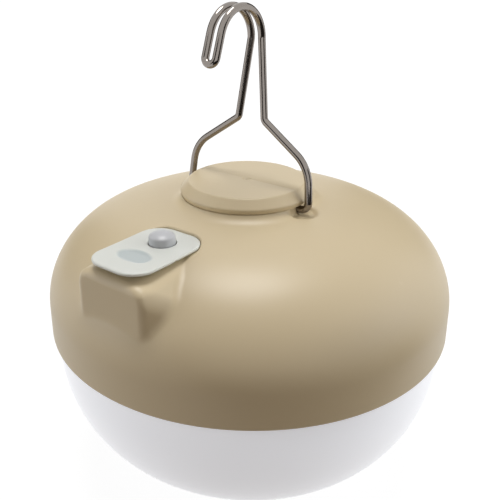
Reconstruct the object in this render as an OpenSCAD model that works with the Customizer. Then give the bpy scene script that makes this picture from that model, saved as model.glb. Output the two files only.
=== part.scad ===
// Rechargeable camping lantern: a domed shell over a frosted bowl, with a wire
// hanging hook, a magnetic top disc and a soft cover over its button and port.
// The origin is the centre of the flat base. The hook pivots about X, and the
// button and the charging port face up from a spout on the -Y side.

/* [Body] */
// Largest diameter of the shell
body_d = 132; // [110:1:160]
// Height of the straight band of the shell above the seam
band_h = 10.4; // [6:0.2:14]
// Height of the dome above the seam
dome_h = 40.3; // [36:0.1:48]
// Squareness of the dome towards its side
dome_side_n = 3.67; // [3:0.01:4.5]
// Squareness of the dome towards its top
dome_top_n = 1.87; // [1.6:0.01:2.4]
// Wall of the shell
shell_wall = 2.4; // [2:0.1:3]

/* [Diffuser] */
// Height of the bowl from the base to the seam
bowl_h = 51; // [40:0.5:62]
// Depth that the bowl's curve would reach without its flat base
bowl_cut = 1.8; // [1:0.1:4]
// Squareness of the bowl's curve
bowl_n = 2.39; // [2:0.01:3]
// Step from the shell in to the bowl at the seam
seam_step = 1.5; // [0.8:0.1:2]
// Wall of the bowl
bowl_wall = 2; // [1.5:0.1:3]
// Height of the rim that enters the shell
spigot_h = 6.9; // [6.5:0.1:8]
// Wall of the rim that enters the shell
spigot_wall = 3.6; // [3.4:0.1:4.5]
// Height that the snap bead stands out of the rim
bead = 0.5; // [0.3:0.1:0.7]
// Section diameter of the seal ring
seal_d = 2.1; // [1.8:0.1:2.3]

/* [Top disc] */
// Largest diameter of the disc
cap_d = 43.2; // [40:0.1:50]
// Height of the disc's top above the dome
cap_rise = 6.5; // [6:0.1:9]
// Height of the disc's chamfer
cap_chamfer = 2.9; // [1.5:0.1:3]
// Width of the disc's chamfer, seen from above
cap_slant = 2.7; // [1.5:0.1:3.5]
// Height of the neck that shows under the disc
neck_h = 2.1; // [1.9:0.1:2.6]
// Thickness of the disc's top
cap_wall = 2; // [1.5:0.1:2.5]
// Depth of the step along the middle of the disc
crease = 0.5; // [0.2:0.1:0.8]
// Slope of that step in degrees, falling towards +X
crease_slope = 1.4; // [0:0.1:2]
// Distance of the magnet's rim from the edge of the disc's flat top
magnet_edge = 6.4; // [5.6:0.1:9]
// Magnet thickness
magnet_h = 3; // [2:0.5:3]

/* [Hook] */
// Wire diameter
wire_d = 2.4; // [2:0.1:2.8]
// Distance of each leg's middle from the disc's edge
leg_gap = 1.8; // [1.6:0.1:3]
// Height of the pivots above the dome
pivot_rise = 0.6; // [0.5:0.1:0.8]
// Length of each wire end in its bore
pin_grip = 5.4; // [4:0.1:6]
// Inside bend from the leg to the wire end, measured on the wire's middle
elbow_r = 2.4; // [2:0.1:3]
// Lean of the lower legs in degrees
leg_lean = 5.5; // [3:0.1:8]
// Radius of the shoulders
shoulder_r = 12; // [9:0.1:14]
// Height at which the shoulders begin
shoulder_h = 8; // [7:0.1:10]
// Lean of the shoulders' straight part in degrees
shoulder_lean = 55.7; // [50:0.1:62]
// Distance of each wire from the middle at the neck
neck_x = 5; // [4.5:0.1:6]
// Bend radius at the neck
neck_r = 2; // [1.6:0.1:3]
// Distance of each wire from the middle where the curl begins
curl_x = 2; // [1.8:0.1:3]
// Height above the pivots at which the curl begins
curl_h = 49.6; // [44:0.1:60]
// Radius of the curl
curl_r = 10.3; // [8:0.1:13]
// Sweep of the curl in degrees
curl_sweep = 166; // [140:1:180]
// Straight length after the curl
tip_len = 7; // [4:0.5:12]
// Lean of the hook at rest, away from the spout, in degrees
hook_tilt = 5.8; // [0:0.1:10]

/* [Spout] */
// Width of the spout
spout_w = 24.6; // [23:0.1:28]
// Gap from the spout's end face to the body's largest radius
spout_inset = 3.6; // [2.4:0.1:5]
// Width of the spout's flat top
spout_top_w = 21.6; // [21.4:0.1:22.4]
// Depth of the spout's top below the dome's top, where it leaves the dome
spout_drop = 2.75; // [2.7:0.05:3.4]
// Fall of the spout's top in degrees
spout_fall = 4; // [2:0.1:6]
// Slope of the spout's shoulders in degrees
spout_shoulder = 47; // [35:1:60]
// Spread of the spout's sides towards the dome in degrees
spout_flare = 34; // [0:1:45]
// Rounding of the spout's edge over its end face
spout_round = 3; // [2.5:0.5:4]
// Wall of the spout
spout_wall = 2.2; // [1.8:0.1:2.6]

/* [Soft cover] */
// Width of the cover
cover_w = 20.8; // [19:0.2:21.4]
// Gap from the spout's end face to the cover's outer end
cover_inset = 0.3; // [0.2:0.1:1]
// Length of the cover
cover_len = 30.4; // [29.6:0.1:31]
// Thickness of the cover
cover_t = 1; // [0.8:0.1:1.2]
// Corner radius of the cover
cover_round = 7; // [5:0.5:7]
// Thickness of the shell under the cover
seat_t = 2; // [1.6:0.1:2.2]
// Depth of the cover's top below the dome's top
cover_drop = 1.7; // [1.5:0.1:2]
// Length of the cover's fixed part, up to where it flexes
fixed_len = 14.4; // [14:0.1:14.8]
// Gap at the line where the cover flexes
flex_gap = 0.4; // [0.3:0.1:0.6]
// Button diameter
button_d = 7.8; // [7:0.1:8.6]
// Height of the button above the cover
button_rise = 3.4; // [2.4:0.1:4]
// Distance of the button from the cover's inner end
button_offset = 8.9; // [8.5:0.1:9.4]
// Button travel
button_travel = 0.6; // [0.3:0.1:0.8]

/* [Port] */
// Distance of the port behind the line where the cover flexes
port_offset = 4.8; // [4.5:0.1:5.5]
// Width of the socket
socket_w = 8.94; // [8.9:0.01:9.1]
// Thickness of the socket
socket_t = 3.2; // [3.1:0.01:3.3]
// Height of the socket above its board
socket_h = 9; // [8.5:0.1:9.5]
// Sheet of the socket's shell
socket_sheet = 0.3; // [0.2:0.05:0.35]
// Depth of the seal boss under the cover's flap
boss_h = 2.9; // [2:0.1:2.9]

/* [Electronics] */
// Depth of the charging board's top below the cover's top
board_drop = 13.2; // [13.1:0.1:13.4]
// Board thickness
board_t = 1.6; // [1.2:0.1:1.6]
// Diameter of the lamp board
led_board_d = 70; // [60:1:80]
// Thickness of the reflector plate
plate_t = 2; // [1.5:0.1:3]
// Cell diameter
cell_d = 18.4; // [18:0.1:18.6]
// Cell length
cell_len = 65; // [64:0.1:66]
// Distance between the cells' axes
cell_pitch = 20; // [19.5:0.1:21]
// Distance of the first cell's axis behind the middle
cell_y = 2; // [1:0.5:4]
// Lead diameter
lead_d = 1.5; // [1:0.1:1.8]

/* [Clearances] */
// Gap between moulded parts that fit together
fit_gap = 0.2; // [0.1:0.05:0.3]
// Gap between faces that rest on each other
seat_gap = 0.05; // [0.02:0.01:0.1]
// Radial clearance of the hook in its bores
pivot_gap = 0.05; // [0.02:0.01:0.1]

/* [Hidden] */
$fn = 64;
arc_steps = 22;
over = 1;

body_r = body_d / 2;
seam_z = bowl_h;
dome_z = seam_z + dome_h;
band_z = seam_z + band_h;
bore_r = body_r - shell_wall;

// Top disc and the neck below it
neck_z = dome_z + neck_h;
cap_r = cap_d / 2;
cap_z = dome_z + cap_rise;
cap_skirt_z = neck_z + seat_gap;
cap_under_z = cap_z - cap_wall;
neck_outer_r = cap_r - 1;
cap_flat_r = cap_r - cap_slant;
ring_r = cap_flat_r - 0.3;
ring_z = cap_under_z - 0.4;
magnet_r = cap_flat_r - magnet_edge;
ring_bore_r = magnet_r + 0.5;
cap_screw_r = (ring_r + ring_bore_r) / 2;
cap_post_r = 2;
cap_screw_angles = [45, 135, 225, 315];

// Screws: [shaft radius, head radius, head height]
screw_m22 = [1.1, 2.2, 1.4];
screw_m25 = [1.25, 2.8, 1.7];
screw_m17 = [0.85, 1.7, 1.2];
screw_m20 = [1, 1.9, 1.3];
thread_gap = 0.02;
pass_gap = 0.2;

// Hook
wire_r = wire_d / 2;
leg_x = cap_r + leg_gap;
pivot_z = dome_z + pivot_rise;
pin_in_x = neck_outer_r - pin_grip;
wire_sides = 10;

// Spout
spout_end = body_r - spout_inset;
cover_y = spout_end - cover_inset - cover_len;
spout_start = cover_y + 4.3;

// Soft cover, button and port
cover_z = dome_z - cover_drop;
cover_under_z = cover_z - cover_t;
cover_end_y = -cover_y - cover_len;
flex_y = -cover_y - fixed_len - flex_gap / 2;
button_y = -cover_y - button_offset;
button_r = button_d / 2;
button_gap = 0.25;
button_under = 0.6;
port_y = flex_y - port_offset;
boss_w = 10.4;
boss_t = 4.8;
well_gap = 1;

// Boards and plate
board_top_z = cover_z - board_drop;
well_floor_z = board_top_z + socket_h + 0.1;
spout_floor = board_top_z - 2.4;
board_under_z = board_top_z - board_t;
board_w = spout_w - 2 * spout_wall - 1.2;
board_start = cover_y + 3.8;
board_end = spout_end - spout_wall - 1.4;
board_post = [board_w / 2 - 1.7, -cover_y - 14.1];
board_post_r = 1.9;
lead_pad = board_post[0] - 4.8;
switch_w = 6;
switch_h = 3.5;
plunger_r = 1.7;
plunger_top_z = board_top_z + 6.6;
stem_gap = 0.1;
plate_z = seam_z + spigot_h + 0.3;
plate_top_z = plate_z + plate_t;
plate_r = bore_r - 1;
plate_post_r = 3.2;
plate_post_at = body_r - 14;
plate_post_angles = [15, 165, 195, 345];
led_board_z = plate_z - 0.05 - board_t;
led_size = [3.5, 2.8, 0.7];
led_rings = [[8, 12], [16, 25]];
led_screw_at = led_board_d / 2 - 4;
led_screw_angles = [30, 150, 270];
lead_hole = [3, -(led_board_d / 2 + 3.5)];
lead_hole_r = lead_d / 2 + 1.2;

// Cells
cell_r = cell_d / 2;
cradle_floor = 1.5;
cradle_h = 6.2;
cell_gap = 0.1;
cradle_z = plate_top_z + seat_gap;
cell_z = cradle_z + cradle_floor + cell_r + cell_gap;
cradle_y = [cell_y - cell_r - 1.2, cell_y + cell_pitch + cell_r + 1.2];
ear_len = 6.8;
ear_w = 14;
ear_h = 3;
strap_w = 10;
strap_t = 1.4;
strap_z = cell_z + cell_r + 0.15;
tab_t = 0.3;
lead_r = lead_d / 2;

// Points of the dome's curve from its side to its top, for a given radius and height
function dome_curve(r, h) = [for (i = [0:arc_steps]) let (t = 90 * i / arc_steps)
    [r * pow(cos(t), 2 / dome_side_n), band_z + (h - band_h) * pow(sin(t), 2 / dome_top_n)]];

// Points of the bowl's curve from the seam down to height z, for a given radius and depth
function bowl_curve(r, depth, z) = let (end = asin(pow((seam_z - z) / depth, bowl_n / 2)))
    [for (i = [0:arc_steps]) let (t = end * i / arc_steps)
        [r * pow(cos(t), 2 / bowl_n), seam_z - depth * pow(sin(t), 2 / bowl_n)]];

// Height of the dome's inside at a distance r from the middle
function dome_under(r) = band_z + (dome_h - shell_wall - band_h)
    * pow(1 - pow(r / bore_r, dome_side_n), 1 / dome_top_n);

// Height of the spout's top at a distance y from the middle
function spout_z(y) = dome_z - spout_drop - (abs(y) - spout_start) * tan(spout_fall);

// Places a child at each angle of a circle
module around(angles, r) {
    for (a = angles) rotate([0, 0, a]) translate([r, 0, 0]) children();
}

// Flat bar with round ends, its length along X and its underside at z = 0
module stadium(length, width, h) {
    translate([-(length - width) / 2, -width / 2, 0]) cube([length - width, width, h]);
    for (side = [-1, 1]) translate([side * (length - width) / 2, 0, 0])
        cylinder(d = width, h = h);
}

// Screw with its head below z = 0 and its shaft above
module screw(size, length) {
    translate([0, 0, -size[2]]) cylinder(r = size[1], h = size[2]);
    cylinder(r = size[0], h = length);
}

// Plate with two round corners at its -Y end
module tongue_plate(width, y_in, y_out, round_r, h) {
    span = abs(y_out - y_in);
    translate([-width / 2, y_in - (y_out < y_in ? span - round_r : 0), 0])
        cube([width, span - round_r, h]);
    side = sign(y_out - y_in);
    translate([-width / 2 + round_r, min(y_out, y_out - side * round_r), 0])
        cube([width - 2 * round_r, round_r, h]);
    for (x = [-1, 1]) translate([x * (width / 2 - round_r), y_out - side * round_r, 0])
        cylinder(r = round_r, h = h);
}

// ---- Tube swept along a line of points ----

function unit(v) = v / norm(v);

// Direction of a line of points at each of its points
function tangents(p) = [for (i = [0:len(p) - 1])
    unit(p[min(i + 1, len(p) - 1)] - p[max(i - 1, 0)])];

// A direction square to the line at each point, carried along it without twist
function normals(t, first) = [for (i = 0, u = unit(first - (first * t[0]) * t[0]); i < len(t);
    i = i + 1, u = i < len(t) ? unit(u - (u * t[i]) * t[i]) : u) u];

// Tube of radius r along the points p; first is any direction not along its start
module tube(p, r, sides, first) {
    t = tangents(p);
    u = normals(t, first);
    rings = [for (i = [0:len(p) - 1]) for (k = [0:sides - 1]) let (a = 360 * k / sides)
        p[i] + r * (cos(a) * u[i] + sin(a) * cross(t[i], u[i]))];
    last = (len(p) - 1) * sides;
    walls = [for (i = [0:len(p) - 2]) for (k = [0:sides - 1]) let (k2 = (k + 1) % sides)
        [i * sides + k, (i + 1) * sides + k, (i + 1) * sides + k2, i * sides + k2]];
    ends = [[for (k = [0:sides - 1]) k], [for (k = [sides - 1:-1:0]) last + k]];
    polyhedron(points = rings, faces = concat(walls, ends), convexity = 10);
}

// Smooth line through hand-placed points, n steps to a span
function smooth(p, n) = concat([for (i = [0:len(p) - 2]) let (a = p[max(i - 1, 0)], b = p[i],
    c = p[i + 1], d = p[min(i + 2, len(p) - 1)]) each [for (k = [0:n - 1]) let (s = k / n)
        0.5 * (2 * b + s * (c - a) + s * s * (2 * a - 5 * b + 4 * c - d)
            + s * s * s * (3 * b - a - 3 * c + d))]], [p[len(p) - 1]]);

// ---- Shell ----

module dome_solid(r, h) {
    rotate_extrude() polygon(concat([[0, seam_z], [r, seam_z]], dome_curve(r, h)));
}

// The spout's side outline, with its round edge over the end face, as a bar along X
module spout_side(width, inset, low) {
    end = spout_end - inset;
    r = spout_round - inset;
    top_at_end = spout_z(end) - inset / cos(spout_fall);
    top_at_start = spout_z(spout_start) - inset / cos(spout_fall);
    rotate([90, 0, -90]) translate([0, 0, -width / 2]) linear_extrude(height = width) union() {
        polygon([[spout_start - over, low], [end, low], [end, top_at_end - r],
            [end - r, top_at_end], [spout_start - over, top_at_start]]);
        translate([end - r, top_at_end - r]) circle(r = r);
    }
}

// The spout's outside: its sides spread towards the dome and its shoulders slope down
module spout_solid() {
    low = spout_floor - 9;
    half = spout_w / 2;
    spread = (spout_end - spout_start) * tan(spout_flare);
    flat = spout_top_w / 2;
    wide = half + spread;
    fall = (wide - flat) * tan(spout_shoulder);
    intersection() {
        spout_side(2 * wide, 0, low);
        translate([0, 0, low]) linear_extrude(height = seam_z) polygon([
            [-wide, -spout_start], [-half, -spout_end], [half, -spout_end], [wide, -spout_start]]);
        translate([0, -spout_start, spout_z(spout_start)]) rotate([90 + spout_fall, 0, 0])
            linear_extrude(height = body_r) polygon([[-flat, 0], [flat, 0], [wide, -fall],
                [wide, -seam_z], [-wide, -seam_z], [-wide, -fall]]);
    }
}

// The room inside the spout for the charging board
module spout_room() {
    w = spout_w - 2 * spout_wall;
    intersection() {
        spout_side(w, spout_wall, spout_floor);
        translate([0, 0, spout_floor])
            tongue_plate(w, -spout_start, -spout_end + spout_wall, spout_round - spout_wall + 1, seam_z);
    }
}

// Block inside the dome that carries the cover's fixed part
module seat_block() {
    intersection() {
        dome_solid(body_r - 0.5, dome_h - 0.5);
        translate([0, 0, cover_under_z - seat_gap - seat_t])
            tongue_plate(cover_w + 4, flex_y, -cover_y + 2, cover_round + 2, 6);
    }
}

// Posts inside the shell, cut off by the shell's own outside
module shell_posts() {
    intersection() {
        dome_solid(body_r - 0.5, dome_h - 0.5);
        translate([0, 0, plate_top_z + seat_gap]) around(plate_post_angles, plate_post_at)
            cylinder(r = plate_post_r, h = seam_z);
    }
    for (x = [-1, 1]) translate([x * board_post[0], board_post[1], board_top_z + seat_gap])
        cylinder(r = board_post_r, h = spout_z(board_post[1]) - board_top_z - 1);
}

// Grooved inside of the band that the bowl's bead snaps into
module snap_groove() {
    z = seam_z + spigot_h - 1.4;
    rotate_extrude() polygon([[bore_r - over, z - 1.5], [bore_r, z - 0.9],
        [bore_r + bead, z - 0.4], [bore_r + bead, z + 0.4], [bore_r, z + 0.9],
        [bore_r - over, z + 1.5]]);
}

module upper_shell() {
    color([0.78, 0.71, 0.58]) difference() {
        union() {
            difference() {
                union() {
                    dome_solid(body_r, dome_h);
                    spout_solid();
                    translate([0, 0, dome_z - shell_wall])
                        cylinder(r = neck_outer_r, h = neck_z - dome_z + shell_wall);
                    translate([0, 0, dome_z - shell_wall])
                        cylinder(r = ring_r, h = ring_z - dome_z + shell_wall);
                }
                dome_solid(bore_r, dome_h - shell_wall);
                translate([0, 0, seam_z - over]) cylinder(r = bore_r, h = over * 2);
                spout_room();
                snap_groove();
            }
            shell_posts();
            seat_block();
        }
        magnet_pocket();
        cap_post_holes();
        pivot_bores();
        cover_seat();
        port_and_button_holes();
        translate([0, 0, plate_top_z - over]) around(plate_post_angles, plate_post_at)
            cylinder(r = screw_m25[0] + thread_gap, h = 12);
        for (x = [-1, 1]) translate([x * board_post[0], board_post[1], board_top_z - over])
            cylinder(r = screw_m17[0] + thread_gap, h = 7);
    }
}

module magnet_pocket() {
    translate([0, 0, cap_under_z - magnet_h - seat_gap - 0.1])
        cylinder(r = ring_bore_r, h = magnet_h + 5);
}

module cap_post_holes() {
    around(cap_screw_angles, cap_screw_r) {
        translate([0, 0, dome_z + 0.1]) cylinder(r = cap_post_r + 0.15, h = cap_rise);
        translate([0, 0, dome_z - shell_wall - over])
            cylinder(r = screw_m22[0] + pass_gap, h = shell_wall + 2 * over);
    }
}

// Bores for the hook's ends, each with a shallow dish that its bend turns in
module pivot_bores() {
    for (side = [0, 180]) rotate([0, 0, side]) translate([0, 0, pivot_z]) {
        translate([pin_in_x - 0.6, 0, 0]) rotate([0, 90, 0])
            cylinder(r = wire_r + pivot_gap, h = pin_grip + 2);
        translate([neck_outer_r, 0, -wire_r - 0.35]) intersection() {
            cylinder(r = leg_x + wire_r + 0.8 - neck_outer_r, h = 4);
            translate([0, -8, 0]) cube([16, 16, 8]);
        }
    }
}

module cover_seat() {
    translate([0, 0, cover_under_z - seat_gap])
        tongue_plate(cover_w + 2 * fit_gap, -spout_end, -cover_y + fit_gap,
            cover_round + fit_gap, 6);
}

module port_and_button_holes() {
    translate([0, button_y, board_top_z + 4.6]) cylinder(r = button_r + button_gap + 0.1, h = 20);
    translate([0, port_y, well_floor_z])
        stadium(boss_w + 2 * well_gap, boss_t + 2 * well_gap, 8);
    translate([0, port_y, board_top_z + over])
        stadium(socket_w + 2 * fit_gap, socket_t + 2 * fit_gap, socket_h);
}

// ---- Top disc ----

module top_cap() {
    color([0.80, 0.73, 0.60]) difference() {
        union() {
            rotate_extrude() polygon([[0, cap_under_z], [ring_r + fit_gap, cap_under_z],
                [ring_r + fit_gap, cap_skirt_z], [cap_r - 0.4, cap_skirt_z],
                [cap_r, cap_z - cap_chamfer], [cap_flat_r, cap_z], [0, cap_z]]);
            translate([0, 0, dome_z + 0.2]) around(cap_screw_angles, cap_screw_r)
                cylinder(r = cap_post_r, h = cap_under_z - dome_z);
        }
        translate([0, 0, dome_z]) around(cap_screw_angles, cap_screw_r)
            cylinder(r = screw_m22[0] + thread_gap, h = 3.6);
        translate([0, 0, cap_z]) rotate([0, crease_slope, 0]) rotate([90, 0, 90])
            linear_extrude(height = cap_d + 4, center = true)
                polygon([[0, 3], [0, -crease], [7, 0], [7, 3]]);
        translate([0, 0, cap_z - 1]) cylinder(r = 0.7, h = 3);
        translate([cap_r - 1.3, 0, cap_z - cap_chamfer / 2]) rotate([0, 45, 0])
            cube([8, 2.2, 1], center = true);
    }
}

module top_magnet() {
    color([0.62, 0.62, 0.64]) translate([0, 0, cap_under_z - seat_gap - magnet_h])
        cylinder(r = magnet_r, h = magnet_h);
}

module cap_screws() {
    color([0.55, 0.55, 0.57])
        translate([0, 0, dome_under(cap_screw_r + screw_m22[1]) - 0.1])
            around(cap_screw_angles, cap_screw_r) screw(screw_m22, shell_wall + 3.2);
}

// ---- Hook ----

// Arc in the hook's plane: centre, radius, and its start and end angles
function flat_arc(c, r, from, to, n) = [for (i = [0:n]) let (a = from + (to - from) * i / n)
    [c[0] + r * cos(a), 0, c[1] + r * sin(a)]];

// One half of the wire's middle line, from its pin to the middle of its tip. The lower legs
// lean in, the shoulders turn over to a straight, and the neck turns it up into the curl.
function hook_half() = let (
    leg_top = [leg_x - (shoulder_h - elbow_r) * tan(leg_lean), shoulder_h],
    shoulder_c = leg_top - shoulder_r * [cos(leg_lean), sin(leg_lean)],
    shoulder_end = shoulder_c + shoulder_r * [cos(shoulder_lean), sin(shoulder_lean)],
    neck_z0 = shoulder_end[1] + (shoulder_end[0] - neck_x) / tan(shoulder_lean),
    stem_lean = atan((neck_x - curl_x) / (curl_h - neck_z0)),
    bend = shoulder_lean - stem_lean,
    set = neck_r * tan(bend / 2),
    bend_at = [neck_x, neck_z0] + set * [sin(shoulder_lean), -cos(shoulder_lean)],
    neck_c = bend_at + neck_r * [cos(shoulder_lean), sin(shoulder_lean)],
    tip = [curl_r * (1 - cos(curl_sweep)) + tip_len * sin(curl_sweep),
        curl_h + curl_r * sin(curl_sweep) + tip_len * cos(curl_sweep)]
) concat(
    [[neck_outer_r - 2, 0, 0]],
    flat_arc([leg_x - elbow_r, elbow_r], elbow_r, -90, 0, 6),
    flat_arc(shoulder_c, shoulder_r, leg_lean, shoulder_lean, 7),
    flat_arc(neck_c, neck_r, 180 + shoulder_lean, 180 + stem_lean, 4),
    [for (i = [1:14]) let (a = curl_sweep * i / 14)
        [curl_x, -curl_r * (1 - cos(a)), curl_h + curl_r * sin(a)]],
    [for (i = [0:5]) let (a = 90 * i / 5)
        [curl_x * cos(a), -tip[0] - curl_x * sin(a) * sin(curl_sweep),
            tip[1] + curl_x * sin(a) * cos(curl_sweep)]]);

module hook() {
    half = hook_half();
    n = len(half);
    whole = concat(half, [for (i = [2:n]) [-half[n - i][0], half[n - i][1], half[n - i][2]]]);
    color([0.70, 0.70, 0.72]) translate([0, 0, pivot_z]) rotate([-hook_tilt, 0, 0]) {
        tube(whole, wire_r - 0.01, wire_sides, [0, 1, 0]);
        for (side = [0, 180]) rotate([0, 0, side]) translate([pin_in_x, 0, 0])
            rotate([0, 90, 0]) cylinder(r = wire_r, h = leg_x - elbow_r - pin_in_x);
    }
}

// ---- Soft cover and button ----

module cover_pad() {
    color([0.88, 0.90, 0.89]) difference() {
        translate([0, 0, cover_under_z])
            tongue_plate(cover_w, -cover_y - fixed_len, -cover_y, cover_round, cover_t);
        translate([0, button_y, cover_under_z - over])
            cylinder(r = button_r + button_gap, h = cover_t + 2 * over);
    }
}

module power_button() {
    top = cover_z + button_rise;
    color([0.86, 0.88, 0.90]) translate([0, button_y, 0]) {
        intersection() {
            translate([0, 0, cover_under_z - button_under])
                cylinder(r = button_r, h = top - cover_under_z + button_under);
            translate([0, 0, top - 2.2 * button_r]) sphere(r = 2.2 * button_r);
        }
        translate([0, 0, plunger_top_z + stem_gap])
            cylinder(r = 1.6, h = cover_under_z - plunger_top_z - stem_gap);
    }
}

module port_flap() {
    color([0.88, 0.90, 0.89]) difference() {
        union() {
            translate([0, 0, cover_under_z]) tongue_plate(cover_w,
                -cover_y - fixed_len - flex_gap, cover_end_y, cover_round, cover_t);
            translate([0, port_y, cover_under_z - boss_h]) stadium(boss_w, boss_t, boss_h + 0.1);
        }
        translate([0, port_y - 0.8, cover_z - 0.3]) stadium(boss_w, boss_t + 1.6, over);
    }
}

module tact_switch() {
    color([0.16, 0.16, 0.17]) translate([0, button_y, board_top_z]) difference() {
        translate([-switch_w / 2, -switch_w / 2, seat_gap]) cube([switch_w, switch_w, switch_h]);
        translate([0, 0, switch_h - 1.2]) cylinder(r = plunger_r + 0.1, h = 3);
    }
}

module switch_plunger() {
    low = board_top_z + switch_h - 1.2 + button_travel + 0.05;
    color([0.75, 0.66, 0.45]) translate([0, button_y, low])
        cylinder(r = plunger_r, h = plunger_top_z - low);
}

// ---- Charging board ----

module charge_board() {
    color([0.10, 0.33, 0.20]) difference() {
        translate([-board_w / 2, -board_end, board_under_z])
            cube([board_w, board_end - board_start, board_t]);
        for (x = [-1, 1]) translate([x * board_post[0], board_post[1], board_under_z - over])
            cylinder(r = screw_m17[0] + pass_gap, h = board_t + 2 * over);
    }
}

// Driver chip, coil and storage capacitors below the board, and four charge lamps on it
module board_parts() {
    color([0.12, 0.12, 0.13]) {
        translate([-5, port_y - 1.7, board_under_z - 1]) cube([4.4, 4.4, 0.95]);
        translate([1, port_y - 2.7, board_under_z - 2.3]) cube([5, 5, 2.25]);
        for (x = [2.1 - board_post[0], board_post[0] - 3.7])
            translate([x, port_y + 3.2, board_under_z - 0.9])
            cube([1.6, 3.2, 0.85]);
        for (x = [-4.5, -1.5, 1.5, 4.5]) translate([x - 0.8, -board_end + 1, board_top_z + 0.05])
            cube([1.6, 0.8, 0.6]);
    }
}

module charge_socket() {
    color([0.72, 0.73, 0.75]) translate([0, port_y, board_top_z]) difference() {
        translate([0, 0, seat_gap]) stadium(socket_w, socket_t, socket_h);
        translate([0, 0, 1]) stadium(socket_w - 2 * socket_sheet, socket_t - 2 * socket_sheet, socket_h);
    }
}

module socket_tongue() {
    color([0.10, 0.10, 0.11]) translate([-3.35, port_y - 0.35, board_top_z + 1.02])
        cube([6.7, 0.7, socket_h - 1.8]);
}

module board_screws() {
    color([0.55, 0.55, 0.57]) for (x = [-1, 1])
        translate([x * board_post[0], board_post[1], board_under_z - seat_gap])
            screw(screw_m17, board_t + 5);
}

// ---- Lamp board and its plate ----

module reflector_plate() {
    color([0.93, 0.93, 0.92]) translate([0, 0, plate_z]) difference() {
        cylinder(r = plate_r, h = plate_t);
        translate([0, 0, -over]) {
            around(plate_post_angles, plate_post_at)
                cylinder(r = screw_m25[0] + pass_gap, h = plate_t + 2 * over);
            around(led_screw_angles, led_screw_at)
                cylinder(r = screw_m20[0] + thread_gap, h = plate_t + 2 * over);
            for (x = [-1, 1]) translate([x * lead_hole[0], lead_hole[1], 0])
                cylinder(r = lead_hole_r, h = plate_t + 2 * over);
        }
    }
}

module plate_screws() {
    color([0.55, 0.55, 0.57]) translate([0, 0, plate_z - seat_gap])
        around(plate_post_angles, plate_post_at) screw(screw_m25, plate_t + 8);
}

module led_board() {
    color([0.90, 0.91, 0.92]) translate([0, 0, led_board_z]) difference() {
        cylinder(d = led_board_d, h = board_t);
        translate([0, 0, -over]) around(led_screw_angles, led_screw_at)
            cylinder(r = screw_m20[0] + pass_gap, h = board_t + 2 * over);
    }
}

module led_chips() {
    color([0.96, 0.86, 0.45]) for (ring = led_rings)
        around([for (i = [0:ring[0] - 1]) 360 * (i + 0.5) / ring[0]], ring[1])
            translate([-led_size[0] / 2, -led_size[1] / 2, led_board_z - led_size[2]])
                cube(led_size);
}

module led_board_screws() {
    color([0.55, 0.55, 0.57]) translate([0, 0, led_board_z - seat_gap])
        around(led_screw_angles, led_screw_at) screw(screw_m20, board_t + plate_t - 0.1);
}

// ---- Cells ----

module cell(y) {
    translate([-cell_len / 2, y, cell_z]) rotate([0, 90, 0]) {
        cylinder(r = cell_r, h = cell_len - 1.4);
        cylinder(r = 4, h = cell_len);
    }
}

module battery_cell_front() {
    color([0.20, 0.42, 0.66]) cell(cell_y);
}

module battery_cell_back() {
    color([0.20, 0.42, 0.66]) cell(cell_y + cell_pitch);
}

module battery_cradle() {
    color([0.20, 0.20, 0.21]) difference() {
        union() {
            translate([-cell_len / 2 - 0.5, cradle_y[0], cradle_z])
                cube([cell_len + 1, cradle_y[1] - cradle_y[0], cradle_h]);
            translate([-ear_w / 2, cradle_y[0] - ear_len, cradle_z])
                cube([ear_w, cradle_y[1] - cradle_y[0] + 2 * ear_len, ear_h]);
        }
        for (i = [0, 1]) translate([-cell_len, cell_y + i * cell_pitch, cell_z])
            rotate([0, 90, 0]) cylinder(r = cell_r + cell_gap, h = 2 * cell_len);
        for (y = strap_screw_y()) translate([0, y, cradle_z + 0.6])
            cylinder(r = screw_m20[0] + thread_gap, h = 10);
    }
}

// Bars that join the cells at each end
module nickel_strips() {
    color([0.75, 0.76, 0.78]) for (x = [-cell_len / 2 - 0.02 - tab_t, cell_len / 2 + 0.02])
        translate([x, cell_y - 4, cell_z - 4]) cube([tab_t, cell_pitch + 8, 8]);
}

function strap_screw_y() = [cradle_y[0] - ear_len / 2 - 0.2, cradle_y[1] + ear_len / 2 + 0.2];

module battery_strap() {
    foot_z = cradle_z + ear_h + seat_gap;
    color([0.25, 0.25, 0.26]) difference() {
        union() {
            translate([-strap_w / 2, cradle_y[0] - strap_t - 0.2, strap_z])
                cube([strap_w, cradle_y[1] - cradle_y[0] + 2 * strap_t + 0.4, strap_t]);
            for (y = [cradle_y[0] - strap_t - 0.2, cradle_y[1] + 0.2])
                translate([-strap_w / 2, y, foot_z]) cube([strap_w, strap_t, strap_z - foot_z]);
            for (y = [cradle_y[0] - ear_len, cradle_y[1] + 0.2])
                translate([-strap_w / 2, y, foot_z]) cube([strap_w, ear_len - 0.2, strap_t]);
        }
        for (y = strap_screw_y()) translate([0, y, foot_z - over])
            cylinder(r = screw_m20[0] + pass_gap, h = strap_t + 2 * over);
    }
}

module strap_screws() {
    top = cradle_z + ear_h + 2 * seat_gap + strap_t;
    color([0.55, 0.55, 0.57]) for (y = strap_screw_y()) translate([0, y, top])
        mirror([0, 0, 1]) screw(screw_m20, strap_t + ear_h - 0.7);
}

// ---- Leads ----

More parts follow.
